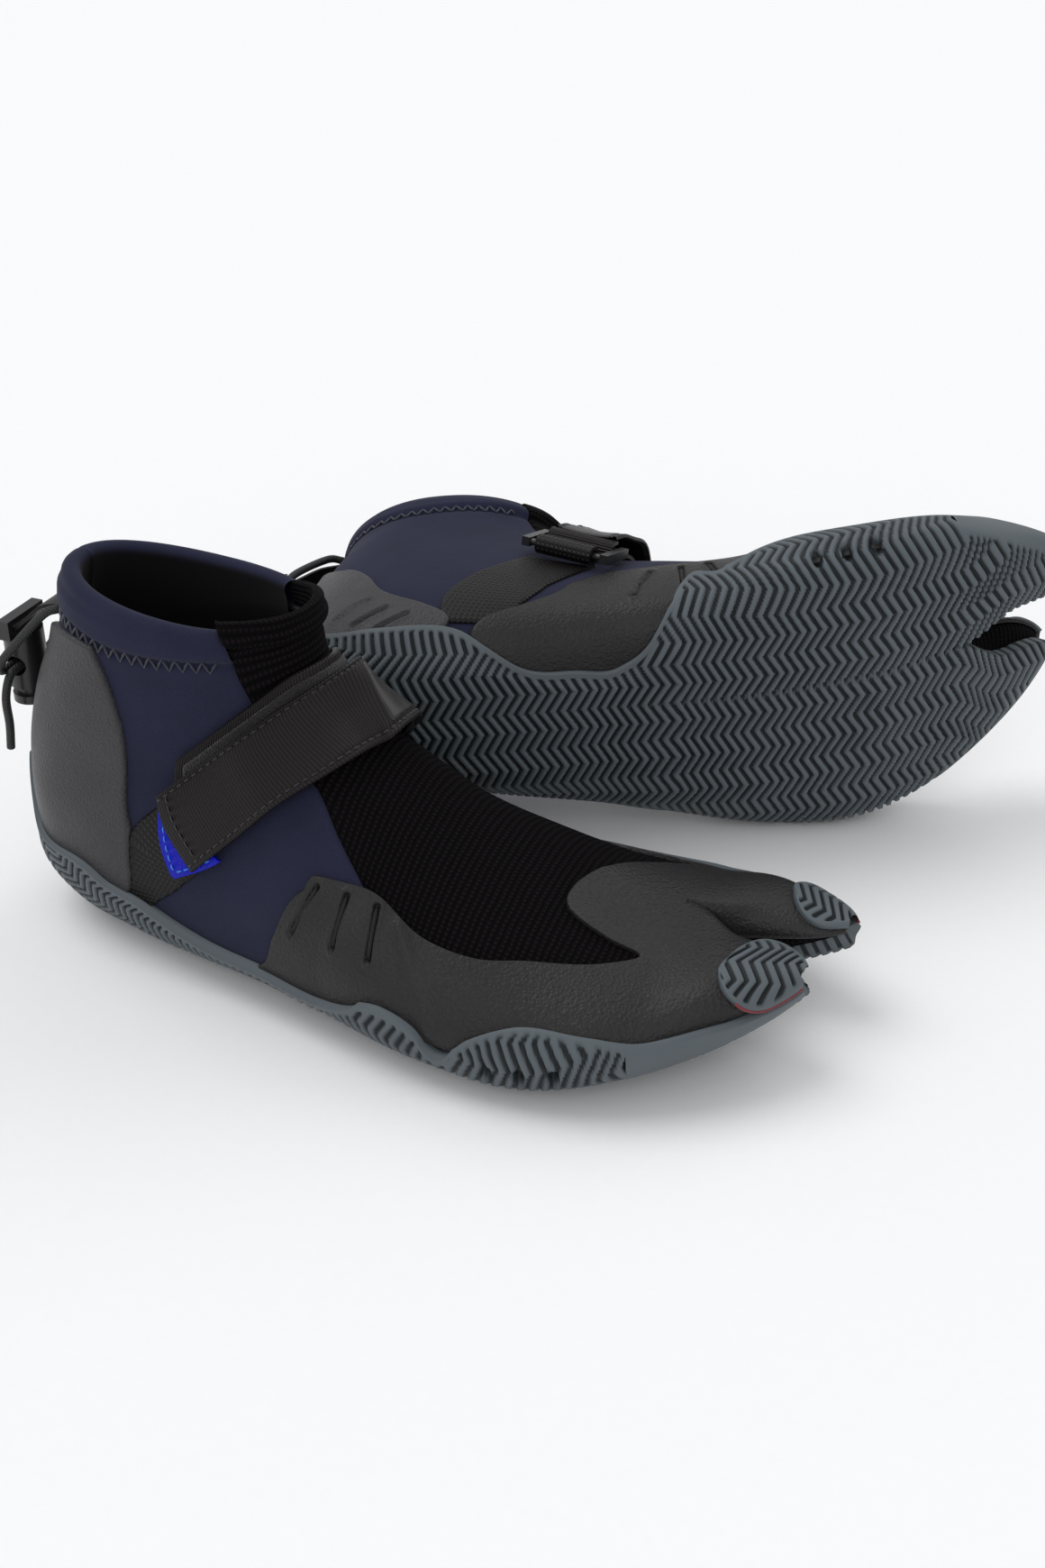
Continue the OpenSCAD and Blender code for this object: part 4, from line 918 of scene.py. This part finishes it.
def make_heel_overlay(boot):
    s = np.concatenate([[0, 0.004, 0.012], np.linspace(0.02, 1, 84)])
    w = np.concatenate([[0, 0.003, 0.008], np.linspace(0.015, 0.985, 110), [0.992, 0.997, 1]])
    outer_u, outer_t = edge_at(HEEL_OUTER, s)
    inner_u, inner_t = edge_at(HEEL_INNER, s)
    bow = HEEL_BOW[0] * (1 - s) ** 2 + HEEL_BOW[1] * s * s
    u = mix(outer_u[:, None], inner_u[:, None], w) - bow[:, None] * 4 * w * (1 - w)
    t = mix(outer_t[:, None], inner_t[:, None], w)
    points, normals = skin_frames(u, t)
    slot = near_segments(points, heel_slots(), 1)
    pad = 0.7 * smooth(1.6 - np.abs(w - 0.5) * 4) * np.ones_like(u)
    height = 1.9 + pad + 0.3 * np.exp(-(((slot - 1.5) / 0.7) ** 2)) - 1.7 * smooth((1.05 - slot) / 0.5)
    form = Form()
    add_shell(form, points, normals, height, 0.1, rounding=1.1)
    boot.piece("heel_overlay_skin", form, HEEL, "boot", "heel_overlay", ["heel_overlay"])


def make_anchors(boot):
    outer, inner = Form(), Form()
    rear = [(-49, 0.19), (-49, 0.245), (-43, 0.31), (-42, 0.35)]
    front = [(-33, 0.19), (-34, 0.235), (-36.5, 0.28), (-38, 0.35)]
    for form, ends, turn in ((outer, (front, rear), 1),):
        s = np.linspace(0, 1, 50)
        a, b = edge_at(ends[0], s), edge_at(ends[1], s)
        w = np.linspace(0, 1, 34)
        u = mix(a[0][:, None], b[0][:, None], w)
        t = mix(a[1][:, None], b[1][:, None], w)
        points, normals = skin_frames(u, turn * t)
        add_shell(form, points, normals, 1.2, 0.1, rounding=0.5)
    boot.piece("outer_anchor_mesh", outer, MESH, "boot", "webbing", ["outer_anchor"])
    top_u, top_t = edge_at(STRAP_PATH, np.array([1.0]))
    s = np.linspace(0, 1, 40)
    rear = [(top_u[0] - 11, top_t[0] + 1.0), (-42.5, 0.745), (-39, 0.66)]
    front = [(top_u[0] + 9, top_t[0] + 1.0), (-27, 0.745), (-30, 0.66)]
    a, b = edge_at(rear, s), edge_at(front, s)
    w = np.linspace(0, 1, 30)
    points, normals = skin_frames(mix(a[0][:, None], b[0][:, None], w), mix(a[1][:, None], b[1][:, None], w))
    add_shell(inner, points, normals, 1.3, 0.1, rounding=0.5)
    add_wrap(inner, RING.far, RING.side, RING.up, RING.run, 2.2, 3.6, -130, 230, STRAP_WIDTH - 5)
    boot.piece("inner_anchor_mesh", inner, MESH, "boot", "webbing", ["inner_anchor"])


# ---------- sole ----------


def tread(down, across, wall):
    """Height of the tread between 0 in a groove and 1 on a ridge, for places in mm on the sole."""
    zigzag = np.abs(((across / TREAD_PERIOD) % 1) * 2 - 1) * TREAD_SWING
    phase = ((down + zigzag) / TREAD_PITCH) % 1
    ridge = np.abs(phase * 2 - 1)
    return smooth((ridge - 0.24) / 0.3)


def sole_grid_heights(points, normals, down, across, from_rim, underfoot):
    """Outer points of the sole with its tread, and how deep in a groove each one lies."""
    base = mix(SOLE_EDGE_HIGH, SOLE_HIGH, underfoot)
    ridge = tread(down, across, underfoot)
    lip = smooth((from_rim - 1.6) / 0.9)
    # groove mask: sinks the grooves here, and in the rubber darkens them as painted shade
    groove = (1 - ridge) * lip
    outer = points + normals * base[..., None]
    outer[..., 2] = np.maximum(outer[..., 2], 0)
    depth = mix(1.15, 1.5, underfoot)
    outer = outer - normals * (groove * depth)[..., None]
    return outer, groove


def drain_points():
    """Centres of the drain holes through the side wall of the sole."""
    centres = []
    for side in (-1, 1):
        for k in range(3):
            centres.append(skin(61 + 10 * k, 0.258) if side < 0 else skin(50 + 10 * k, 0.7))
    return centres


def sole_t(u, w):
    """Places across the sole, w 0 at the outer rim, 1 under the middle and 2 at the inner rim."""
    return np.where(w <= 1, mix(along(OUTER_RIM, u), 0.5, w), mix(0.5, along(INNER_RIM, u), w - 1))


def even_places(points, w, half):
    """Places w that divide both halves of every row of points into equal steps."""
    rows = []
    for run in arc_lengths(points, 1):
        middle = np.interp(1.0, w, run)
        stops = np.concatenate([np.linspace(0, middle, half + 1), np.linspace(middle, run[-1], half + 1)[1:]])
        rows.append(np.interp(stops, run, w))
    return np.array(rows)


def wall_rim(form, outer, points, normals, groove, edges):
    """Adds the sole layer with walls turned in under its upper edge."""
    uvs = np.zeros(points.shape[:2] + (2,))
    pads = [(int("n" in edges), int("s" in edges)), (int("w" in edges), int("e" in edges))]
    base = points + normals * 0.2
    grown = np.pad(outer, pads + [(0, 0)], mode="edge")
    inner = np.pad(base, pads + [(0, 0)], mode="edge")
    if "n" in edges:
        grown[0] = inner[0]
    if "s" in edges:
        grown[-1] = inner[-1]
    if "w" in edges:
        grown[:, 0] = inner[:, 0]
    if "e" in edges:
        grown[:, -1] = inner[:, -1]
    depth = np.pad(groove, pads, mode="edge")
    form.add(grown, grid_faces(*grown.shape[:2]), np.pad(uvs, pads + [(0, 0)], mode="edge"), depth)


def make_outsole(boot):
    form = Form()
    fine = np.concatenate([between(-64, -2, 0.4), between(0, TOE_SPLIT, 0.4)])
    run = arc_lengths(skin(fine, 0.5 + 0 * fine))
    step = 0.58
    u = np.interp(np.arange(0, run[-1] + step / 2, step), run, fine)
    u[-1] = TOE_SPLIT
    half = 75
    w = np.linspace(0, 2, 321)
    w = even_places(skin(u[:, None], sole_t(u[:, None], w)), w, half)
    t = sole_t(u[:, None], w)
    points, normals = skin_frames(u[:, None] + 0 * t, t)
    down = arc_lengths(points[:, half])[:, None] + 0 * t
    across = arc_lengths(points, 1)
    from_rim = np.minimum(across, across[:, -1:] - across)
    from_rim = np.minimum(from_rim, down)
    across = across - across[:, half : half + 1]
    underfoot = smooth(1.6 - np.abs(w - 1) * 2) + 0 * t
    drains = drain_points()
    outer, groove = sole_grid_heights(points, normals, down, across, from_rim, underfoot)
    hole = smooth((2.1 - drain_distance(points, drains)) / 0.5)
    outer = outer - normals * (hole * 3.0)[..., None]
    # the drain holes join the groove mask, so the rubber paints shade into them
    groove = np.maximum(groove, hole)
    wall_rim(form, outer, points, normals, groove, "nwe")
    for side, cols in ((-1, slice(0, half + 1)), (1, slice(half, None))):
        reach = np.sin(np.linspace(0, math.pi / 2, 100))[1:, None]
        lobe_u = TOE_SPLIT + (TIP[side] - TOE_SPLIT) * 0.985 * reach
        place = lobe_place(side, sole_t(lobe_u, w[-1, cols]))
        lobe_points, lobe_normals = lobe_frames(side, lobe_u, place)
        outward = lobe_normals.copy()
        outward[..., 1] = side * np.maximum(side * outward[..., 1], 0)
        lobe_points = np.concatenate([points[-1:, cols], lobe_points])
        lobe_normals = unit(np.concatenate([normals[-1:, cols], outward]))
        lobe_down = down[-1, half] + arc_lengths(lobe_points[:, -1 if side < 0 else 0])[:, None] + 0 * lobe_points[..., 0]
        lobe_across = arc_lengths(lobe_points, 1)
        if side < 0:
            rim = lobe_across
            lobe_across = lobe_across - lobe_across[:, -1:]
        else:
            rim = lobe_across[:, -1:] - lobe_across
        under = np.broadcast_to(underfoot[-1:, cols], lobe_points.shape[:2])
        outer_lobe, lobe_groove = sole_grid_heights(
            lobe_points, lobe_normals, lobe_down, lobe_across, rim * smooth(under * 1.6), under
        )
        wall_rim(form, outer_lobe, lobe_points, lobe_normals, lobe_groove, "swe")
    boot.piece("outsole_tread", form, RUBBER, "boot", "rubber_sole", ["outsole"], merge=True)


def drain_distance(points, centres):
    closest = np.full(points.shape[:-1], 1e6)
    for centre in centres:
        closest = np.minimum(closest, np.linalg.norm(points - centre, axis=-1))
    return closest


def make_toe_bumpers(boot):
    """Rubber flap folded up over each toe, leaf-shaped, with the same tread."""
    for side, name in ((-1, "small_toe_bumper"), (1, "big_toe_bumper")):
        first = TIP[side] - 21
        last = TOE_SPLIT + (TIP[side] - TOE_SPLIT) * 0.985
        s = np.linspace(0, 1, 90)
        u = first + (last - first) * np.sin(s * math.pi / 2)
        low = lobe_place(side, along(OUTER_RIM if side < 0 else INNER_RIM, 130))
        low = low - side * -0.004
        top = 0.0 if side < 0 else 1.0
        leaf = np.sin(np.clip(s * 1.9, 0, 1) * math.pi / 2) ** 0.8
        middle = mix(top, low, 0.42)
        w = np.linspace(0, 1, 70)
        gap_edge = mix(middle, top - side * -0.05, leaf)
        low_edge = mix(middle, low, leaf)
        place = mix(gap_edge[:, None], low_edge[:, None], w if side < 0 else 1 - w)
        points, normals = lobe_frames(side, u[:, None] + 0 * place, place)
        down = arc_lengths(points[:, 35])[:, None] + 0 * place
        across = arc_lengths(points, 1)
        middle_across = across - across[:, 35:36]
        rim = np.minimum(np.minimum(across, across[:, -1:] - across), down)
        ridge = tread(down, middle_across + 3, 0)
        # this groove mask also gives the bumper's grooves painted shade in the rubber
        groove = (1 - ridge) * smooth((rim - 1.0) / 0.8)
        height = 3.9 - groove * 1.1
        form = Form()
        add_shell(form, points, normals, height, 1.4, edges="nwe", rounding=0.9, depths=groove)
        boot.piece(f"{name}_tread", form, RUBBER, "boot", "rubber_sole", [name])
        glue = Form()
        edge_line = points[:, -1 if side < 0 else 0] + normals[:, -1 if side < 0 else 0] * 3.4
        ups = normals[:, -1 if side < 0 else 0]
        add_tubes(glue, [edge_line[18:-4]], [ups[18:-4]], 0.5, sides=6)
        boot.piece(f"{name}_glue", glue, GLUE, "boot", "rubber_sole")


# ---------- strap and ring ----------


class Ring:
    """Places and directions of the strap ring, worked out from the strap path as in the CAD."""

    def __init__(self):
        near, near_side = self.bar(RING_NEAR)
        far, far_side = self.bar(1.0)
        self.side = unit(near_side + far_side)
        gap = far - near
        flat = gap - self.side * (gap @ self.side)
        self.near = near
        self.run = unit(flat)
        self.reach = float(np.linalg.norm(flat))
        self.up = np.cross(self.run, self.side)
        self.far = near + self.run * self.reach

    @staticmethod
    def bar(s, lift=5.7):
        u, t = edge_at(STRAP_PATH, s)
        before = skin(*edge_at(STRAP_PATH, s - 0.03))
        point, normal = skin_frames(u, t)
        run = unit(point - before)
        return point + normal * lift, unit(np.cross(normal, run))


RING = Ring()


def add_wrap(form, centre, side, up, run, inner, outer, first, last, width):
    """Tape bent round a ring bar, between two angles measured from run towards up."""
    turns = np.radians(np.linspace(first, last, 40))[:, None, None]
    across = np.linspace(-width / 2, width / 2, 30)[None, :, None]
    ways = run * np.cos(turns) + up * np.sin(turns)
    for radius, flip in ((outer, False), (inner, True)):
        points = centre + ways * radius + side * across
        faces = grid_faces(*points.shape[:2])
        places = np.stack(np.broadcast_arrays(turns[..., 0] * radius, across[..., 0]), -1)
        form.add(points, faces[:, ::-1] if flip else faces, places)
    for k in (0, -1):
        rim = np.stack([centre + ways[:, 0] * r + side * across[0, k] for r in (inner, outer)], 1)
        form.add(rim, grid_faces(40, 2))


def strap_height(s):
    """Height of the returning strap over the surface: level over the pads, up to the ring bar."""
    rise = 5.7 + 2.6 + 0.25 - 4.85
    arch = STRAP_ARCH * np.exp(-(((s - 0.66) / 0.11) ** 2))
    return 4.9 + rise * smooth((s - RING_NEAR + 0.35) / 0.35) + arch


def strap_rows(first, last, step=0.0045):
    return np.arange(first, last + step / 2, step)


def relaxed(grid, passes):
    """Rows of a strip drawn taut between its fixed first and last rows."""
    grid = grid.copy()
    for _ in range(passes):
        grid[1:-1] = (grid[:-2] + 2 * grid[1:-1] + grid[2:]) / 4
    return grid


def make_strap(boot):
    flap = Form()
    s = strap_rows(STRAP_END, RING_NEAR)
    offset = np.linspace(-1, 1, 57) * STRAP_WIDTH / 2
    u, t = strip_places(STRAP_PATH, s, offset)
    points, normals = skin_frames(u, t)
    points, normals = relaxed(points, 60), unit(relaxed(normals, 200))
    ease = 0.55 * np.sin(s * 47)[:, None] + 0.35 * np.sin(s * 23 + 1)[:, None]
    edge = np.abs(offset) / (STRAP_WIDTH / 2)
    selvage = -0.35 * np.exp(-(((edge - 0.86) / 0.035) ** 2)) + 0.12 * smooth((edge - 0.88) / 0.04)
    height = strap_height(s)[:, None] + WEBBING + ease * smooth((RING_NEAR - s) * 12)[:, None] + selvage
    add_shell(flap, points, normals, height, height - WEBBING - 0.1, edges="nwe", rounding=0.4)
    low = points + normals * (height - WEBBING - 0.1)[..., None]
    flap.add(low, grid_faces(*low.shape[:2])[:, ::-1], surface_places(low))
    add_wrap(flap, RING.near, RING.side, RING.up, RING.run, 2.6, 3.9, -95, 112, STRAP_WIDTH - 0.6)
    boot.piece("strap_flap_tape", flap, TAPE, "strap", "webbing", ["strap_flap"])

    patch = Form()
    keep = s > 0.56
    inside = np.abs(offset) < STRAP_WIDTH / 2 * 0.8
    select = lambda grid: grid[keep][:, inside]
    add_shell(
        patch, select(points), select(normals), select(height + 0 * u) + 0.3, select(height + 0 * u) - 0.5,
        rounding=0.3,
    )
    boot.piece("strap_coated_patch", patch, COATED, "strap", "webbing")

    stitches = Form()
    for column in (4, -5):
        line = points[:, column] + normals[:, column] * (height[:, column] + 0.1)[:, None]
        add_stitches(stitches, line, normals[:, column])
    row = 5
    line = points[row] + normals[row] * (height[row] + 0.1)[:, None]
    add_stitches(stitches, line[4:-4], normals[row][4:-4])
    boot.piece("strap_stitching", stitches, DARK_THREAD, "strap", "webbing")

    lower = Form()
    s = strap_rows(STRAP_END + 0.03, RING_NEAR - 0.06)
    wide = np.linspace(-1, 1, 41) * 16.0 + LOWER_SHIFT
    u, t = strip_places(STRAP_PATH, s, wide)
    points, normals = skin_frames(u, t)
    add_shell(lower, points, normals, 2.9, 1.0, rounding=0.5)
    boot.piece("strap_lower_tape", lower, TAPE, "boot", "webbing", ["strap_lower"])
    for name, node, body, material, slot, first, last, low, high in (
        ("loop_pile_pad", "loop_pad", "boot", LOOPS, "loop_pad", STRAP_END + 0.05, 0.66, 2.9, 3.6),
        ("hook_field_pad", "hook_pad", "strap", HOOKS, "hook_pad", STRAP_END + 0.02, 0.4, 4.0, 4.75),
    ):
        form = Form()
        s = strap_rows(first, last)
        shift = LOWER_SHIFT if body == "boot" else 0
        u, t = strip_places(STRAP_PATH, s, np.linspace(-1, 1, 31) * 12.5 + shift)
        points, normals = skin_frames(u, t)
        add_shell(form, points, normals, high, low, rounding=0.3)
        boot.piece(name, form, material, body, slot, [node])


LOWER_SHIFT = -5.0
STRAP_ARCH = 1.5


def make_pull_tab(boot):
    """Triangular tab whose point shows beyond the strap's end, near its front corner."""
    point, front, rear = np.array([0.078, 11.5]), np.array([0.18, 16.5]), np.array([STRAP_END + 0.006, -14.0])
    down = np.linspace(0.04, 1.1, 50)[:, None, None]
    across = np.linspace(0, 1, 41)[None, :, None]
    places = point + down * (mix(rear, front, across) - point)
    places[..., 1] = np.clip(places[..., 1], -13.0, 16.5)
    u, t = strip_points(STRAP_PATH, places[..., 0], places[..., 1])
    points, normals = skin_frames(u, t)
    form = Form()
    add_shell(form, points, normals, 4.3, 3.2, rounding=0.3)
    tab = boot.piece("pull_tab_tape", form, BLUE, None, "tab", ["pull_tab"])
    stitches = Form()
    for corner, inset in ((rear, 1), (front, -1)):
        share = np.linspace(0.12, 0.95, 30)
        line = point + share[:, None] * (corner - point) + np.array([0.012, 1.6 * inset])
        u, t = strip_points(STRAP_PATH, line[:, 0], line[:, 1])
        points, normals = skin_frames(u, t)
        add_stitches(stitches, points + normals * 4.4, normals, radius=0.28)
    threads = boot.piece("pull_tab_stitching", stitches, CYAN_THREAD, None, "tab")
    fold = np.array([0.014, -0.014]) + STRAP_END - 0.006
    points, normals = skin_frames(*edge_at(STRAP_PATH, fold))
    start, end = (tuple(float(part) for part in place) for place in boot.to_row(points + normals * 4))
    for piece in (tab, threads):
        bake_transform(piece)


# ---------- heel cord ----------

COLLAR_BACK = skin(-86.0, 0.5)
LOCK = COLLAR_BACK + np.array([-23.0, 0.0, -25.0])
HINGE = COLLAR_BACK + np.array([-2.2, 0.0, 0.0])
SLOT_LEVEL = 12 + 2.9


def make_heel_loop(boot):
    start = HINGE - LOCK
    route = [
        (start[0] + 1.5, start[2] + 2.0), (start[0] - 6, start[2]), (7, SLOT_LEVEL + 3.5), (2.6, SLOT_LEVEL),
        (-2.6, SLOT_LEVEL), (-5.4, SLOT_LEVEL - 0.6),
    ]
    line = curve_points(route, 70)
    run = unit(np.gradient(line, axis=0))
    side = np.stack([-run[:, 1], run[:, 0]], -1) * WEBBING / 2
    width = np.linspace(-7.5, 7.5, 28)
    form = Form()
    for sign in (1, -1):
        flat = line + side * sign
        points = np.stack(
            np.broadcast_arrays(flat[:, None, 0] + LOCK[0], width[None, :], flat[:, None, 1] + LOCK[2]), -1
        )
        faces = grid_faces(*points.shape[:2])
        form.add(points, faces if sign < 0 else faces[:, ::-1], surface_places(points))
    for edge in (-7.5, 7.5):
        pair = np.stack([line + side, line - side], 1)
        points = np.stack([pair[..., 0] + LOCK[0], np.full(pair.shape[:2], edge), pair[..., 1] + LOCK[2]], -1)
        form.add(points, grid_faces(len(line), 2))
    piece = boot.piece("heel_loop_tape", form, TAPE, "", "webbing", ["heel_loop"])
    Vector(boot.to_row(HINGE))
    Vector(boot.to_row(HINGE + np.array([-8.0, 0, -4.0])))
    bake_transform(piece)


def cord_route(side):
    """Knots of the cord strand on one side, in the boot's frame."""
    x = side * (CORD + 0.3) / 2
    eyelet = skin(-87.0, 0.5 + side * 0.044) - LOCK + np.array([-1.0, 0, 0])
    knots = [
        eyelet, eyelet + [-6, side * 2.5, -3], [x + 4, side * 15, 7], [x, side * 12.5, 0.6], [x, side * 8, 0],
        [x, 0, 0], [x, -side * 8, 0], [x - 0.6, -side * 12, -1.6], [x - 1.5, -side * 14.5, -9],
        [x - 3, -side * 13, -20], [x - 5, -side * 12, -30],
    ]
    return np.array(knots) + LOCK


def make_cords(boot):
    for side, name in ((-1, "outer"), (1, "inner")):
        knots = cord_route(side)
        line = curve_points(knots, 130)
        form = Form()
        add_tubes(form, [line], [carried_frames(line)], CORD / 2, sides=14)
        piece = boot.piece(f"{name}_cord_strand", form, BRAID, "", "cord", [f"{name}_cord_end"])
        Vector(boot.to_row(knots[0]))
        Vector(boot.to_row(knots[3]))
        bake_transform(piece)
    t = np.linspace(0.544, 1.456, 160)
    points, normals = skin_frames(rim_u(t) + 8, t)
    line = points - normals * 3.4
    form = Form()
    add_tubes(form, [line], [normals], 1.2, sides=10)
    boot.piece("drawcord_braid", form, BRAID, "boot", "cord", ["drawcord"])


def make_spring(boot):
    turn = np.linspace(0, 3.5 * 2 * math.pi, 130)
    rise = np.linspace(4.55, 9.65, 130)
    line = np.stack([3.2 * np.cos(turn), 3.2 * np.sin(turn), rise], -1) + LOCK
    form = Form()
    add_tubes(form, [line], [carried_frames(line)], 0.4, sides=8)
    piece = boot.piece("lock_spring_coil", form, WIRE, "lock", "steel", ["lock_spring"])
    tuple(boot.way([0, 0, 1]))
    tuple(boot.to_row(LOCK + np.array([0, 0, 10.05])))
    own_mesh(piece)


def make_boot(boot):
    make_upper(boot)
    make_toe_socks(boot)
    make_linings(boot)
    make_forefoot_overlay(boot)
    make_heel_overlay(boot)
    make_anchors(boot)
    make_outsole(boot)
    make_toe_bumpers(boot)
    make_strap(boot)
    make_pull_tab(boot)
    make_heel_loop(boot)
    make_cords(boot)
    make_spring(boot)


def dress_cad_nodes():
    """Gives the rigid CAD pieces that stay their own node materials."""
    finishes = {"cord_lock": PLASTIC, "lock_plunger": PLASTIC, "strap_ring": PLASTIC, "midsole_board": BOARD}
    for name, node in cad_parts.items():
        for part, material in finishes.items():
            if name.endswith(part):
                node.data.materials.clear()
                node.data.materials.append(material)


# ---------- studio ----------


def add_sun(name, azimuth, elevation, strength, spread):
    """A distant soft light, so that the floor stays evenly lit; angles in degrees."""
    light = bpy.data.lights.new(name, "SUN")
    light.energy = strength
    light.angle = math.radians(spread)
    lamp = bpy.data.objects.new(name, light)
    bpy.context.scene.collection.objects.link(lamp)
    lamp.rotation_euler = Euler((0, math.radians(90 - elevation), math.radians(azimuth)))


def make_studio():
    paint = Paint("studio_floor")
    speck = paint.noise(4, 2)
    floor_material = paint.finish(paint.ramp(speck, (0.0, (0.93, 0.93, 0.93)), (1.0, (0.95, 0.95, 0.95))), 0.9)
    mesh = bpy.data.meshes.new("studio_floor")
    reach = 8.0
    corners = [(-reach, -reach, -0.0004), (reach, -reach, -0.0004), (reach, reach, -0.0004), (-reach, reach, -0.0004)]
    mesh.from_pydata(corners, [], [(0, 1, 2, 3)])
    mesh.materials.append(floor_material)
    floor = bpy.data.objects.new("studio_floor", mesh)
    bpy.context.scene.collection.objects.link(floor)

    world = bpy.data.worlds.new("studio_air")
    world.use_nodes = True
    world.node_tree.nodes["Background"].inputs["Color"].default_value = (0.97, 0.98, 1.0, 1)
    world.node_tree.nodes["Background"].inputs["Strength"].default_value = 0.6
    bpy.context.scene.world = world
    add_sun("key_light", 175, 60, 1.0, 40)
    add_sun("front_light", -75, 35, 0.45, 40)
    add_sun("back_light", 75, 40, 0.4, 40)
    bpy.context.scene.view_settings.view_transform = "Standard"


def make_camera():
    """Camera at the photograph's viewing angle."""
    azimuth, elevation, roll = (math.radians(a) for a in (23.442, 30.865, -0.708))
    target = Vector((0.11978, 0.0395, 0.05))
    back = Vector(
        (math.sin(azimuth) * math.cos(elevation), -math.cos(azimuth) * math.cos(elevation), math.sin(elevation))
    )
    camera = bpy.data.objects.new("camera", bpy.data.cameras.new("camera"))
    bpy.context.scene.collection.objects.link(camera)
    camera.data.lens = 43.82
    camera.data.sensor_width = 36
    camera.location = target + back * 0.64995
    view = back.to_track_quat("Z", "Y").to_matrix().to_4x4()
    camera.rotation_euler = (view @ Euler((0, 0, roll)).to_matrix().to_4x4()).to_euler()
    bpy.context.scene.camera = camera


for each in ("right", "left"):
    make_boot(Boot(each))
dress_cad_nodes()
make_studio()
make_camera()
